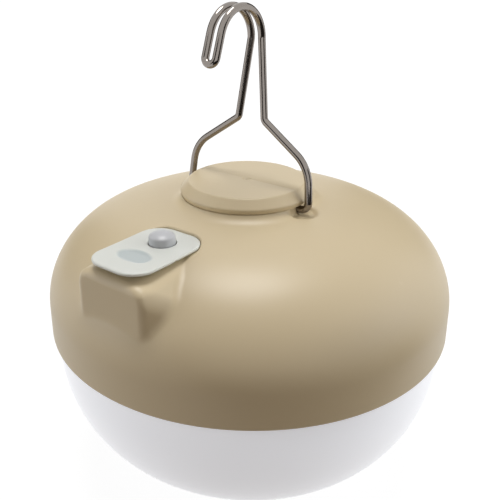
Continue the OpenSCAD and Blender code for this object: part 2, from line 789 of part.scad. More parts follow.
// From a cell's end bar round to the charging board, for the +X side
function battery_route() = [
    [cell_len / 2 + tab_t + lead_r + 0.1, cell_y + 1, cell_z],
    [cell_len / 2 + 1.8, cell_y - 6, cell_z + 0.3],
    [cell_len / 2 + 1, cell_y - 13, cell_z + 0.8],
    [24, 12.5 - board_start, cell_z + 1.2],
    [12, 2.5 - board_start, board_under_z - 3.3],
    [6.6, -board_start - 2.3, board_under_z - 2.4],
    [6, -board_start - 3.1, board_under_z - 1.4],
    [6, -board_start - 3.1, board_under_z - 0.1]];

// From the charging board down through the plate to the lamp board's face, for the +X side
function led_route() = [
    [lead_pad, port_y + 3.8, board_under_z - 0.1],
    [lead_pad, port_y + 3.8, board_under_z - 1],
    [lead_pad, port_y + 4.3, board_under_z - 5],
    [lead_hole[0], lead_hole[1] - 2.5, plate_top_z + 6],
    [lead_hole[0], lead_hole[1], plate_z + 0.5],
    [lead_hole[0], lead_hole[1] + 1.2, led_board_z - 0.4],
    [lead_hole[0], lead_hole[1] + 4, led_board_z - lead_r - 0.25],
    [lead_hole[0], lead_hole[1] + 6.5, led_board_z - lead_r - 0.05]];

module lead_pair(route) {
    for (side = [0, 1]) mirror([side, 0, 0]) tube(smooth(route, 4), lead_r, 8, [1, 0, 0.3]);
}

module battery_leads() {
    color([0.65, 0.10, 0.10]) lead_pair(battery_route());
}

module led_leads() {
    color([0.80, 0.80, 0.78]) lead_pair(led_route());
}

// ---- Seal and bowl ----

module seal_ring() {
    color([0.12, 0.12, 0.12]) translate([0, 0, seam_z + 2.4]) rotate_extrude()
        translate([bore_r - 0.1 - seal_d / 2, 0]) circle(d = seal_d, $fn = 24);
}

module diffuser() {
    outer_r = body_r - seam_step;
    rim_r = bore_r - fit_gap;
    rim_in = rim_r - spigot_wall;
    groove_in = bore_r - 0.2 - seal_d;
    groove_z = seam_z + 2.4;
    half_groove = seal_d / 2 + 0.1;
    bead_z = seam_z + spigot_h - 1.4;
    outside = bowl_curve(outer_r, bowl_h + bowl_cut, 0);
    inside = bowl_curve(outer_r - bowl_wall, bowl_h + bowl_cut - bowl_wall, bowl_wall);
    rim = [[rim_r, seam_z - seat_gap], [rim_r, groove_z - half_groove],
        [groove_in, groove_z - half_groove], [groove_in, groove_z + half_groove],
        [rim_r, groove_z + half_groove], [rim_r, bead_z - 0.8],
        [rim_r + bead, bead_z - 0.3], [rim_r + bead, bead_z + 0.3],
        [rim_r, bead_z + 0.8], [rim_r, seam_z + spigot_h], [rim_in, seam_z + spigot_h],
        [rim_in, inside[1][1]]];
    color([0.93, 0.94, 0.96, 0.9]) rotate_extrude() polygon(concat(
        [for (i = [arc_steps:-1:1]) outside[i]], [[outer_r, seam_z - seat_gap]], rim,
        [for (i = [1:arc_steps]) inside[i]], [[0, bowl_wall], [0, 0]]));
}

upper_shell();
top_cap();
top_magnet();
cap_screws();
hook();
cover_pad();
power_button();
port_flap();
tact_switch();
switch_plunger();
charge_board();
board_parts();
charge_socket();
socket_tongue();
board_screws();
reflector_plate();
plate_screws();
led_board();
led_chips();
led_board_screws();
battery_cradle();
battery_cell_front();
battery_cell_back();
nickel_strips();
battery_strap();
strap_screws();
battery_leads();
led_leads();
seal_ring();
diffuser();
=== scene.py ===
"""A rechargeable camping lantern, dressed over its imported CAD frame.

The outside is rebuilt as fine closed meshes: the moulded shell with its spout, the top disc,
the wire hook, the soft cover, the button and the bowl. The parts inside keep the frame's
meshes and get finishes of their own. Sizes are in millimetres, with the base at zero height.
"""

import logging
import math
from dataclasses import dataclass, field, replace
from enum import Enum
from typing import Callable, Iterable, Sequence

import bpy
import numpy as np
from mathutils import Matrix, Vector


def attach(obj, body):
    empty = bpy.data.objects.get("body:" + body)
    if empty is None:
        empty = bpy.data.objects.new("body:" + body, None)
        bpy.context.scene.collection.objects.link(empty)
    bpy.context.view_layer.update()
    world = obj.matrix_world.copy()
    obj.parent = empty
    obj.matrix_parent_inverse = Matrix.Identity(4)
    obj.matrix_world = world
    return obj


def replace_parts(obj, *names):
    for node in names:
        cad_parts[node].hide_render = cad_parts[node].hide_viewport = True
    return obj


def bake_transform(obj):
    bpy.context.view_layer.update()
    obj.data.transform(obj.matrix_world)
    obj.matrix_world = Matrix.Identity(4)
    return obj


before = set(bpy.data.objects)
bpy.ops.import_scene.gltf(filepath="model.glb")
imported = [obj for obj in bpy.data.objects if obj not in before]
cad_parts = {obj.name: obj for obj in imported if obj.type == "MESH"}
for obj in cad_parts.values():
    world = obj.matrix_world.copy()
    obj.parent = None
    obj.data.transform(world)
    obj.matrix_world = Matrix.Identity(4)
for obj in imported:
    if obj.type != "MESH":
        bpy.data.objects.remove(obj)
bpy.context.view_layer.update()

MM = 0.001
FIELD_STEP = 0.05
SETTLING_ROUNDS = 4
FLATTEST = 0.1
NORMAL_STEP = 0.12
LOG = logging.getLogger("lantern")
Field = Callable[[np.ndarray, np.ndarray, np.ndarray], np.ndarray]
Point = tuple[float, float]


class Slot(Enum):
    """The record's material slots."""

    SHELL = "beige_shell"
    WIRE = "polished_wire"
    SILICONE = "clear_silicone"
    BOWL = "frosted_bowl"


# ---- Distance fields ----


def round_both(a: np.ndarray, b: np.ndarray, radius: float) -> np.ndarray:
    """Common part of two square faces, with the edge between them rounded.

    Args:
        a: Distance to the first solid.
        b: Distance to the second solid.
        radius: Radius of the edge.

    Returns:
        Distance to the common part.
    """
    edge = np.hypot(np.maximum(a + radius, 0), np.maximum(b + radius, 0))
    return np.minimum(np.maximum(a, b), -radius) + edge


def fillet(a: np.ndarray, b: np.ndarray, radius: float, cosine: np.ndarray | float = 0.0) -> np.ndarray:
    """Union of two solids with a fillet along the line where they meet.

    Args:
        a: Distance to the first solid.
        b: Distance to the second solid.
        radius: Radius of the fillet where the faces are square.
        cosine: Cosine of the angle between the two faces' normals.

    Returns:
        Distance to the union.
    """
    reach = radius * (1.0 - cosine) + 1e-6
    near = np.maximum(1.0 - np.abs(a - b) / reach, 0.0)
    return np.minimum(a, b) - near * near * reach / 4


def gradient(shape: Field, x: np.ndarray, y: np.ndarray, z: np.ndarray,
             step: float = FIELD_STEP) -> np.ndarray:
    """Gradient of a field, by central differences.

    Args:
        shape: The field.
        x: X of each point.
        y: Y of each point.
        z: Z of each point.
        step: Half the distance between the samples.

    Returns:
        The gradient, with X, Y and Z in the last axis.
    """
    parts = [
        shape(x + step * e[0], y + step * e[1], z + step * e[2])
        - shape(x - step * e[0], y - step * e[1], z - step * e[2])
        for e in ((1, 0, 0), (0, 1, 0), (0, 0, 1))
    ]
    return np.stack(parts, -1) / (2 * step)


def slope(shape: Field, x: np.ndarray, y: np.ndarray, z: np.ndarray,
          step: float = FIELD_STEP) -> np.ndarray:
    """Unit normals of a field.

    Args:
        shape: The field.
        x: X of each point.
        y: Y of each point.
        z: Z of each point.
        step: Half the distance between the samples.

    Returns:
        The normals, with X, Y and Z in the last axis.
    """
    steep = gradient(shape, x, y, z, step)
    return steep / np.maximum(np.linalg.norm(steep, axis=-1, keepdims=True), 1e-9)


def plate_outline(x: np.ndarray, y: np.ndarray, box: Sequence[float], radius: float) -> np.ndarray:
    """Distance to a rectangle with round corners.

    Args:
        x: X of each point.
        y: Y of each point.
        box: The rectangle's low X, high X, low Y and high Y.
        radius: Corner radius.

    Returns:
        Distance to the outline, negative inside.
    """
    dx = np.abs(x - (box[0] + box[1]) / 2) - (box[1] - box[0]) / 2 + radius
    dy = np.abs(y - (box[2] + box[3]) / 2) - (box[3] - box[2]) / 2 + radius
    return np.minimum(np.maximum(dx, dy), 0) + np.hypot(np.maximum(dx, 0), np.maximum(dy, 0)) - radius


def stadium(x: np.ndarray, y: np.ndarray, length: float, width: float) -> np.ndarray:
    """Distance to a bar with round ends that lies along X, negative inside."""
    return np.hypot(np.maximum(np.abs(x) - (length - width) / 2, 0), y) - width / 2


@dataclass
class FieldMesher:
    """Turns a distance field into a closed mesh of quads, one vertex to each crossed cell."""

    first: np.ndarray
    second: np.ndarray
    third: np.ndarray
    polar: bool = False

    def place(self, a: np.ndarray, b: np.ndarray, c: np.ndarray) -> tuple[np.ndarray, ...]:
        """Grid coordinates as X, Y and Z."""
        return (a * np.cos(b), a * np.sin(b), c) if self.polar else (a, b, c)

    def build(self, shape: Field) -> tuple[np.ndarray, list, np.ndarray]:
        """Meshes the zero surface of a field.

        Args:
            shape: Field of distances, negative inside.

        Returns:
            Vertices, faces, and the surface's normal at each vertex.
        """
        axes = [self.first, self.second, self.third]
        if self.polar:
            axes[1] = np.append(axes[1], axes[1][0] + 2 * math.pi)
        values = shape(*self.place(*np.meshgrid(*axes, indexing="ij")))
        solid = values < 0
        corners = [
            solid[i : i + solid.shape[0] - 1, j : j + solid.shape[1] - 1, k : k + solid.shape[2] - 1]
            for i in (0, 1)
            for j in (0, 1)
            for k in (0, 1)
        ]
        count = sum(c.astype(np.int8) for c in corners)
        cells = np.argwhere((count > 0) & (count < 8))
        index = np.full(count.shape, -1)
        index[tuple(cells.T)] = np.arange(len(cells))
        points = self._crossings(values, cells, axes)
        reach = self._cell_reach(cells, axes)
        points = self._settle(shape, points, reach)
        faces = self._faces(solid, index)
        if self.polar:
            points, faces = self._close_axis(solid, index, points, faces)
        return points, faces, slope(shape, *points.T, step=NORMAL_STEP)

    @staticmethod
    def _cell_reach(cells: np.ndarray, axes: list) -> np.ndarray:
        """How far a vertex may settle, from the size of its cell."""
        return 0.6 * np.maximum(np.diff(axes[0])[cells[:, 0]], np.diff(axes[2])[cells[:, 2]])

    def _crossings(self, values: np.ndarray, cells: np.ndarray, axes: list) -> np.ndarray:
        """Mean of the points where the surface crosses each cell's edges.

        Args:
            values: The field at every grid point.
            cells: Grid indices of the crossed cells.
            axes: Grid lines along each axis.

        Returns:
            One point to each cell, as X, Y and Z.
        """
        total = np.zeros((len(cells), 3))
        hits = np.zeros((len(cells), 1))
        for axis in range(3):
            others = [n for n in range(3) if n != axis]
            for p in (0, 1):
                for q in (0, 1):
                    low = cells.copy()
                    low[:, others[0]] += p
                    low[:, others[1]] += q
                    high = low.copy()
                    high[:, axis] += 1
                    v0, v1 = values[tuple(low.T)], values[tuple(high.T)]
                    crossed = (v0 < 0) != (v1 < 0)
                    t = np.where(crossed, v0 / np.where(crossed, v0 - v1, 1), 0)[:, None]
                    a = np.stack([axes[n][low[:, n]] for n in range(3)], -1)
                    b = np.stack([axes[n][high[:, n]] for n in range(3)], -1)
                    total += np.where(crossed[:, None], a + t * (b - a), 0)
                    hits += crossed[:, None]
        return np.stack(self.place(*(total / hits).T), -1)

    @staticmethod
    def _settle(shape: Field, points: np.ndarray, reach: np.ndarray) -> np.ndarray:
        """Moves each vertex along the field's normal until it lies on the surface.

        Args:
            shape: Field of distances.
            points: The vertices.
            reach: How far each vertex may move.

        Returns:
            The settled vertices.
        """
        start = points.copy()
        for _ in range(SETTLING_ROUNDS):
            gap = shape(*points.T)
            grow = gradient(shape, *points.T)
            points = points - grow * (gap / np.maximum((grow**2).sum(1), FLATTEST))[:, None]
            drift = points - start
            far = np.maximum(np.linalg.norm(drift, axis=1) / reach, 1)
            points = start + drift / far[:, None]
        return points

    def _faces(self, solid: np.ndarray, index: np.ndarray) -> list:
        """A quad for every grid edge that the surface crosses.

        Args:
            solid: Whether each grid point is inside.
            index: Vertex number of each cell.

        Returns:
            The quads, facing out.
        """
        faces: list = []
        for axis in range(3):
            others = [n for n in range(3) if n != axis]
            low = [slice(None)] * 3
            high = [slice(None)] * 3
            low[axis], high[axis] = slice(0, -1), slice(1, None)
            start, end = solid[tuple(low)], solid[tuple(high)]
            edges = np.argwhere(start != end)
            wrap = [n for n in others if self.polar and n == 1]
            keep = np.ones(len(edges), bool)
            for n in others:
                keep &= edges[:, n] < index.shape[n]
                if n not in wrap:
                    keep &= edges[:, n] > 0
            if self.polar and axis == 1:
                keep &= edges[:, 1] < index.shape[1]
            edges = edges[keep]
            outward = start[tuple(edges.T)]
            corners = []
            for p, q in ((0, 0), (1, 0), (1, 1), (0, 1)):
                cell = edges.copy()
                cell[:, others[0]] -= p
                cell[:, others[1]] -= q
                corners.append(index[tuple(cell.T)])
            quads = np.stack(corners, -1)
            flip = outward if axis != 1 else ~outward
            quads[flip] = quads[flip][:, ::-1]
            faces.extend(quads[:, ::-1].tolist())
        return faces

    @staticmethod
    def _close_axis(solid: np.ndarray, index: np.ndarray, points: np.ndarray,
                    faces: list) -> tuple[np.ndarray, list]:
        """Closes a polar mesh with a fan of triangles wherever its surface crosses the axis.

        Args:
            solid: Whether each grid point is inside.
            index: Vertex number of each cell.
            points: Vertices so far.
            faces: Faces so far, which grow here.

        Returns:
            Vertices and faces.
        """
        for k in np.flatnonzero(solid[0, 0, :-1] != solid[0, 0, 1:]):
            ring = index[0, :, k]
            centre = points[ring].mean(0)
            centre[:2] = 0
            hub = len(points)
            points = np.vstack([points, centre])
            after = np.roll(ring, -1)
            upward = bool(solid[0, 0, k])
            for a, b in zip(ring.tolist(), after.tolist()):
                faces.append((a, b, hub) if upward else (b, a, hub))
        return points, faces


def steps(*stops: float) -> np.ndarray:
    """Grid lines of changing spacing.

    Args:
        *stops: Places and the spacings between them by turns, such as 0, 0.5, 10, 1, 20.

    Returns:
        The places of the lines.
    """
    lines = [np.array([stops[0]])]
    for n in range(0, len(stops) - 2, 2):
        count = max(1, round((stops[n + 2] - stops[n]) / stops[n + 1]))
        lines.append(np.linspace(stops[n], stops[n + 2], count + 1)[1:])
    return np.concatenate(lines)


# ---- Turned and swept meshes ----


def eased(points: Sequence[Point], radii: Sequence[float], turns: int = 5) -> list[Point]:
    """An outline with its corners rounded.

    Args:
        points: Corners of an open outline.
        radii: Radius at each corner, zero to leave it sharp.
        turns: Steps round each corner.

    Returns:
        The new outline's points.
    """
    out: list[Point] = [points[0]]
    for before, here, after, radius in zip(points, points[1:], points[2:], radii[1:]):
        a, p, b = Vector(before), Vector(here), Vector(after)
        u, v = (a - p).normalized(), (b - p).normalized()
        half = math.acos(max(-1.0, min(1.0, u.dot(v)))) / 2
        if radius <= 0 or half > 1.56:
            out.append(here)
            continue
        set_back = radius / math.tan(half)
        centre = p + (u + v).normalized() * (radius / math.sin(half))
        start, end = p + u * set_back - centre, p + v * set_back - centre
        sweep = start.angle_signed(end)
        for n in range(turns + 1):
            spoke = start.copy()
            spoke.rotate(Matrix.Rotation(-sweep * n / turns, 2))
            out.append(tuple(centre + spoke))
    out.append(points[-1])
    return out


def close_up(points: Sequence[Point], gap: float) -> list[Point]:
    """An outline with extra points.

    Args:
        points: Points of an open outline.
        gap: The furthest that two of them may be apart.

    Returns:
        The new outline's points.
    """
    out = [points[0]]
    for a, b in zip(points, points[1:]):
        count = max(1, math.ceil(math.dist(a, b) / gap))
        out += [(a[0] + (b[0] - a[0]) * n / count, a[1] + (b[1] - a[1]) * n / count)
                for n in range(1, count + 1)]
    return out


def turned(outline: Sequence[Point], angles: Sequence[float]) -> tuple[np.ndarray, list]:
    """A solid of revolution about Z.

    Args:
        outline: Radius and height of each point, from the axis out and back to it, or closed.
        angles: Directions round the axis, in radians.

    Returns:
        Vertices and faces.
    """
    closed = outline[0][0] > 1e-6
    sides = len(angles)
    verts: list = []
    rows: list = []
    for radius, height in outline:
        if radius < 1e-6:
            rows.append([len(verts)] * sides)
            verts.append((0.0, 0.0, height))
            continue
        rows.append(list(range(len(verts), len(verts) + sides)))
        verts += [(radius * math.cos(a), radius * math.sin(a), height) for a in angles]
    faces = []
    for a, b in zip(rows, rows[1:] + (rows[:1] if closed else [])):
        for n in range(sides):
            m = (n + 1) % sides
            corners = dict.fromkeys((a[n], a[m], b[m], b[n]))
            if len(corners) > 2:
                faces.append(tuple(corners))
    return np.array(verts), faces


def round_angles(sides: int) -> np.ndarray:
    """Directions of equal steps round the axis, in radians."""
    return np.arange(sides) * 2 * math.pi / sides


def swept(path: np.ndarray, radius: float, sides: int) -> tuple[np.ndarray, list]:
    """A round bar along a line of points, closed at both ends.

    Args:
        path: The line's points.
        radius: Radius of the bar.
        sides: Number of its sides.

    Returns:
        Vertices and faces.
    """
    ahead = np.gradient(path, axis=0)
    ahead /= np.linalg.norm(ahead, axis=1, keepdims=True)
    across = np.array([0.0, 1.0, 0.0])
    angle = round_angles(sides)
    rings = []
    for here, way in zip(path, ahead):
        across = across - way * across.dot(way)
        across /= np.linalg.norm(across)
        up = np.cross(way, across)
        rings.append(here + radius * (np.cos(angle)[:, None] * across + np.sin(angle)[:, None] * up))
    last = (len(path) - 1) * sides
    faces = [
        (row + k, row + (k + 1) % sides, row + sides + (k + 1) % sides, row + sides + k)
        for row in range(0, last, sides)
        for k in range(sides)
    ]
    faces += [tuple(range(sides))[::-1], tuple(range(last, last + sides))]
    return np.vstack(rings), faces


def put_in_scene(name: str, data: bpy.types.ID) -> bpy.types.Object:
    """Makes an object of the given data and puts it in the scene.

    Args:
        name: Name of the object.
        data: Its mesh, lamp or camera.

    Returns:
        The object.
    """
    made = bpy.data.objects.new(name, data)
    bpy.context.scene.collection.objects.link(made)
    return made


def add_piece(name: str, body: str, verts: np.ndarray, faces: list,
              normals: np.ndarray | None = None, sharp: float = 180.0) -> bpy.types.Object:
    """Makes a piece that rides on a body.

    Args:
        name: Name of the piece.
        body: Body that it rides on, or an empty string for none.
        verts: Vertices in millimetres.
        faces: Faces as tuples of vertex numbers.
        normals: Normal at each vertex, where the surface is known exactly.
        sharp: Angle in degrees above which an edge is shaded sharp.

    Returns:
        The new object.
    """
    mesh = bpy.data.meshes.new(name)
    mesh.from_pydata((verts * MM).tolist(), [], faces)
    mesh.validate()
    mesh.shade_smooth()
    if normals is not None:
        mesh.normals_split_custom_set_from_vertices(normals.tolist())
    elif sharp < 180:
        mesh.set_sharp_from_angle(angle=math.radians(sharp))
    piece = put_in_scene(name, mesh)
    if body:
        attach(piece, body)
    LOG.info("%s: %d vertices, %d faces", name, len(mesh.vertices), len(mesh.polygons))
    return piece


# ---- Shader node groups ----


def rgb(red: int, green: int, blue: int) -> tuple[float, float, float, float]:
    """A display colour as the linear colour that a shader takes.

    Args:
        red: Red, 0 to 255.
        green: Green, 0 to 255.
        blue: Blue, 0 to 255.

    Returns:
        Linear red, green and blue, and an alpha of one.
    """
    def linear(v: float) -> float:
        """One channel from display to linear."""
        return v / 12.92 if v <= 0.04045 else ((v + 0.055) / 1.055) ** 2.4
    return (*(linear(v / 255) for v in (red, green, blue)), 1.0)


class Nodes:
    """Adds nodes to a tree and joins them."""

    def __init__(self, tree: bpy.types.NodeTree) -> None:
        """Starts on an empty tree."""
        self.tree = tree
        tree.nodes.clear()

    def add(self, kind: str, sockets: dict | None = None, **settings: object) -> bpy.types.Node:
        """Adds a node.

        Args:
            kind: The node's type.
            sockets: Value or source socket for each input, by name or number.
            **settings: The node's own settings.

        Returns:
            The node.
        """
        node = self.tree.nodes.new(kind)
        for name, value in settings.items():
            setattr(node, name, value)
        for key, value in (sockets or {}).items():
            if isinstance(value, bpy.types.NodeSocket):
                self.tree.links.new(value, node.inputs[key])
            else:
                node.inputs[key].default_value = value
        return node

    def math(self, operation: str, a: object, b: object = 0.0,
             clamp: bool = False) -> bpy.types.NodeSocket:
        """Result of a Math node on two values or sockets."""
        return self.add("ShaderNodeMath", {0: a, 1: b}, operation=operation, use_clamp=clamp).outputs[0]

    def blend(self, amount: object, a: object, b: object) -> bpy.types.NodeSocket:
        """Colour result of a Mix node."""
        return self.add("ShaderNodeMix", {0: amount, 6: a, 7: b}, data_type="RGBA").outputs[2]

    def ramp(self, value: object, low: float, high: float) -> bpy.types.NodeSocket:
        """A value stretched so that low gives 0 and high gives 1, clamped."""
        return self.add("ShaderNodeMapRange", {0: value, 1: low, 2: high}, clamp=True).outputs[0]

    def group(self, tree: bpy.types.NodeTree, **sockets: object) -> bpy.types.bpy_prop_collection:
        """Outputs of a group node, with a value or a source for each input by name."""
        return self.add("ShaderNodeGroup", sockets, node_tree=tree).outputs

    def here(self) -> bpy.types.NodeSocket:
        """The piece's own coordinates."""
        return self.add("ShaderNodeTexCoord").outputs["Object"]

    def give(self, out: bpy.types.Node, **results: bpy.types.NodeSocket) -> None:
        """Joins results to an output node's sockets, by name."""
        for label, result in results.items():
            self.tree.links.new(result, out.inputs[label])

    def noise(self, place: object, scale: object, detail: float = 3.0,
              rough: float = 0.5) -> bpy.types.NodeSocket:
        """Value of a Noise node.

        Args:
            place: Coordinates.
            scale: Scale of the noise.
            detail: Number of octaves.
            rough: Weight of the finer octaves.

        Returns:
            The value's socket.
        """
        node = self.add("ShaderNodeTexNoise", {"Vector": place, "Scale": scale, "Detail": detail,
                                               "Roughness": rough})
        return node.outputs["Fac"]


def new_group(name: str, inputs: Iterable[tuple], outputs: Iterable[tuple]) -> tuple:
    """Starts a shader node group.

    Args:
        name: Name of the group.
        inputs: Name, socket type and default of each input.
        outputs: Name and socket type of each output.

    Returns:
        The group, its node builder, its input node and its output node.
    """
    group = bpy.data.node_groups.new(name, "ShaderNodeTree")
    made = Nodes(group)
    for label, kind, default in inputs:
        socket = group.interface.new_socket(name=label, in_out="INPUT", socket_type=kind)
        socket.default_value = default
    for label, kind in outputs:
        group.interface.new_socket(name=label, in_out="OUTPUT", socket_type=kind)
    return group, made, made.add("NodeGroupInput"), made.add("NodeGroupOutput")


def new_material(name: str) -> tuple[bpy.types.Material, Nodes]:
    """Starts a material on an empty node tree.

    Args:
        name: Name of the material.

    Returns:
        The material and its node builder.
    """
    made = bpy.data.materials.new(name)
    made.use_nodes = True
    return made, Nodes(made.node_tree)


FLOAT, COLOUR = "NodeSocketFloat", "NodeSocketColor"


def tone_drift_group() -> bpy.types.NodeTree:
    """Slow change of tone over a moulded or dyed surface.

    Returns:
        The group.
    """
    group, n, given, out = new_group(
        "tone_drift",
        [("Colour", COLOUR, (0.5, 0.5, 0.5, 1)), ("Scale", FLOAT, 30.0), ("Amount", FLOAT, 0.05)],
        [("Colour", COLOUR)],
    )
    place = n.here()
    broad = n.noise(place, given.outputs["Scale"], 2.0)
    fine = n.noise(place, n.math("MULTIPLY", given.outputs["Scale"], 9.0), 4.0, 0.65)
    mixed = n.math("ADD", n.math("MULTIPLY", broad, 0.7), n.math("MULTIPLY", fine, 0.3))
    swing = n.math("MULTIPLY", given.outputs["Amount"], 2.0)
    change = n.math("MULTIPLY", n.math("SUBTRACT", mixed, 0.5), swing)
    bright = n.math("ADD", change, 1.0)
    toned = n.add("ShaderNodeHueSaturation", {"Value": bright, "Color": given.outputs["Colour"]})
    n.give(out, Colour=toned.outputs["Color"])
    return group


def moulded_grain_group() -> bpy.types.NodeTree:
    """Fine texture that a blasted mould leaves, with the faint ripple of its filling.

    Returns:
        The group.
    """
    group, n, given, out = new_group(
        "moulded_grain",
        [("Scale", FLOAT, 2400.0), ("Ripple", FLOAT, 0.2), ("Roughness", FLOAT, 0.4),
         ("Spread", FLOAT, 0.06)],
        [("Height", FLOAT), ("Roughness", FLOAT)],
    )
    place = n.here()
    grain = n.noise(place, given.outputs["Scale"], 2.0, 0.7)
    wide = n.math("MULTIPLY", given.outputs["Scale"], 0.6)
    pits = n.add("ShaderNodeTexVoronoi", {"Vector": place, "Scale": wide})
    ripple = n.noise(place, 45.0, 1.0)
    pitted = n.math("MULTIPLY", pits.outputs["Distance"], 0.4)
    height = n.math("ADD", n.math("MULTIPLY", grain, 0.6), pitted)
    height = n.math("ADD", height, n.math("MULTIPLY", ripple, given.outputs["Ripple"]))
    patch = n.noise(place, 70.0, 4.0, 0.6)
    rough = n.math("MULTIPLY", n.math("SUBTRACT", patch, 0.5), given.outputs["Spread"])
    rough = n.math("ADD", rough, given.outputs["Roughness"], clamp=True)
    n.give(out, Height=height, Roughness=rough)
    return group


def edge_wear_group() -> bpy.types.NodeTree:
    """Paler convex edges, broken up so that the wear isn't even.

    Returns:
        The group.
    """
    group, n, given, out = new_group(
        "edge_wear",
        [("Colour", COLOUR, (0.5, 0.5, 0.5, 1)), ("Worn", COLOUR, (0.8, 0.8, 0.8, 1)),
         ("Amount", FLOAT, 0.3)],
        [("Colour", COLOUR), ("Mask", FLOAT)],
    )
    sharp = n.ramp(n.add("ShaderNodeNewGeometry").outputs["Pointiness"], 0.52, 0.6)
    place = n.here()
    broken = n.ramp(n.noise(place, 380.0, 5.0, 0.7), 0.35, 0.65)
    mask = n.math("MULTIPLY", n.math("MULTIPLY", sharp, broken), given.outputs["Amount"], clamp=True)
    n.give(out, Colour=n.blend(mask, given.outputs["Colour"], given.outputs["Worn"]), Mask=mask)
    return group


def handling_group() -> bpy.types.NodeTree:
    """Hairline scratches and faint smudges from handling.

    Returns:
        The group.
    """
    group, n, given, out = new_group(
        "handling",
        [("Roughness", FLOAT, 0.4), ("Height", FLOAT, 0.0), ("Amount", FLOAT, 0.3)],
        [("Roughness", FLOAT), ("Height", FLOAT)],
    )
    place = n.here()
    masks = []
    for turn, stretch in ((0.6, (90.0, 1500.0, 90.0)), (2.1, (1300.0, 80.0, 1300.0))):
        mapped = n.add("ShaderNodeMapping", {"Vector": place, "Rotation": (turn, turn / 2, turn),
                                             "Scale": stretch})
        masks.append(n.ramp(n.noise(mapped.outputs[0], 1.0, 2.0, 0.4), 0.70, 0.78))
    lines = n.math("MULTIPLY", n.math("MAXIMUM", masks[0], masks[1]), given.outputs["Amount"])
    smudge = n.ramp(n.noise(place, 28.0, 3.0, 0.55), 0.5, 0.8)
    rough = n.math("ADD", given.outputs["Roughness"], n.math("MULTIPLY", lines, 0.25))
    film = n.math("MULTIPLY", n.math("MULTIPLY", smudge, given.outputs["Amount"]), 0.12)
    rough = n.math("ADD", rough, film, clamp=True)
    height = n.math("SUBTRACT", given.outputs["Height"], n.math("MULTIPLY", lines, 0.5))
    n.give(out, Roughness=rough, Height=height)
    return group


def settled_dust_group() -> bpy.types.NodeTree:
    """A trace of dust on faces that look up.

    Returns:
        The group.
    """
    group, n, given, out = new_group(
        "settled_dust",
        [("Colour", COLOUR, (0.5, 0.5, 0.5, 1)), ("Dust", COLOUR, (0.6, 0.57, 0.5, 1)),
         ("Amount", FLOAT, 0.1)],
        [("Colour", COLOUR), ("Mask", FLOAT)],
    )
    normal = n.add("ShaderNodeNewGeometry").outputs["Normal"]
    up = n.ramp(n.add("ShaderNodeSeparateXYZ", {0: normal}).outputs["Z"], 0.4, 1.0)
    place = n.here()
    specks = n.ramp(n.noise(place, 1500.0, 3.0, 0.8), 0.62, 0.72)
    film = n.ramp(n.noise(place, 60.0, 4.0, 0.6), 0.4, 0.8)
    cover = n.math("ADD", n.math("MULTIPLY", specks, 0.5), n.math("MULTIPLY", film, 0.5))
    mask = n.math("MULTIPLY", n.math("MULTIPLY", cover, up), given.outputs["Amount"], clamp=True)
    n.give(out, Colour=n.blend(mask, given.outputs["Colour"], given.outputs["Dust"]), Mask=mask)
    return group


def painted_dip_shade_group() -> bpy.types.NodeTree:
    """Painted shade: a darker colour inside a soft-edged oval, laid over the cover's thumb dip.

    Returns:
        The group.
    """
    group, n, given, out = new_group(
        "painted_dip_shade",
        [("Colour", COLOUR, (0.8, 0.8, 0.8, 1)), ("Backed", COLOUR, (0.5, 0.5, 0.5, 1)),
         ("Middle Y", FLOAT, 0.0), ("Half Length", FLOAT, 0.006), ("Half Width", FLOAT, 0.004)],
        [("Colour", COLOUR)],
    )
    place = n.add("ShaderNodeSeparateXYZ", {0: n.here()})
    along = n.math("DIVIDE", place.outputs["X"], given.outputs["Half Length"])
    off = n.math("SUBTRACT", place.outputs["Y"], given.outputs["Middle Y"])
    across = n.math("DIVIDE", off, given.outputs["Half Width"])
    reach = n.math("ADD", n.math("MULTIPLY", along, along), n.math("MULTIPLY", across, across))
    mask = n.ramp(reach, 1.15, 0.75)
    n.give(out, Colour=n.blend(mask, given.outputs["Colour"], given.outputs["Backed"]))
    return group


@dataclass
class EffectGroups:
    """The shared effects, each built once."""

    drift: bpy.types.NodeTree = field(default_factory=tone_drift_group)
    grain: bpy.types.NodeTree = field(default_factory=moulded_grain_group)
    wear: bpy.types.NodeTree = field(default_factory=edge_wear_group)
    handling: bpy.types.NodeTree = field(default_factory=handling_group)
    dust: bpy.types.NodeTree = field(default_factory=settled_dust_group)
    oval: bpy.types.NodeTree = field(default_factory=painted_dip_shade_group)


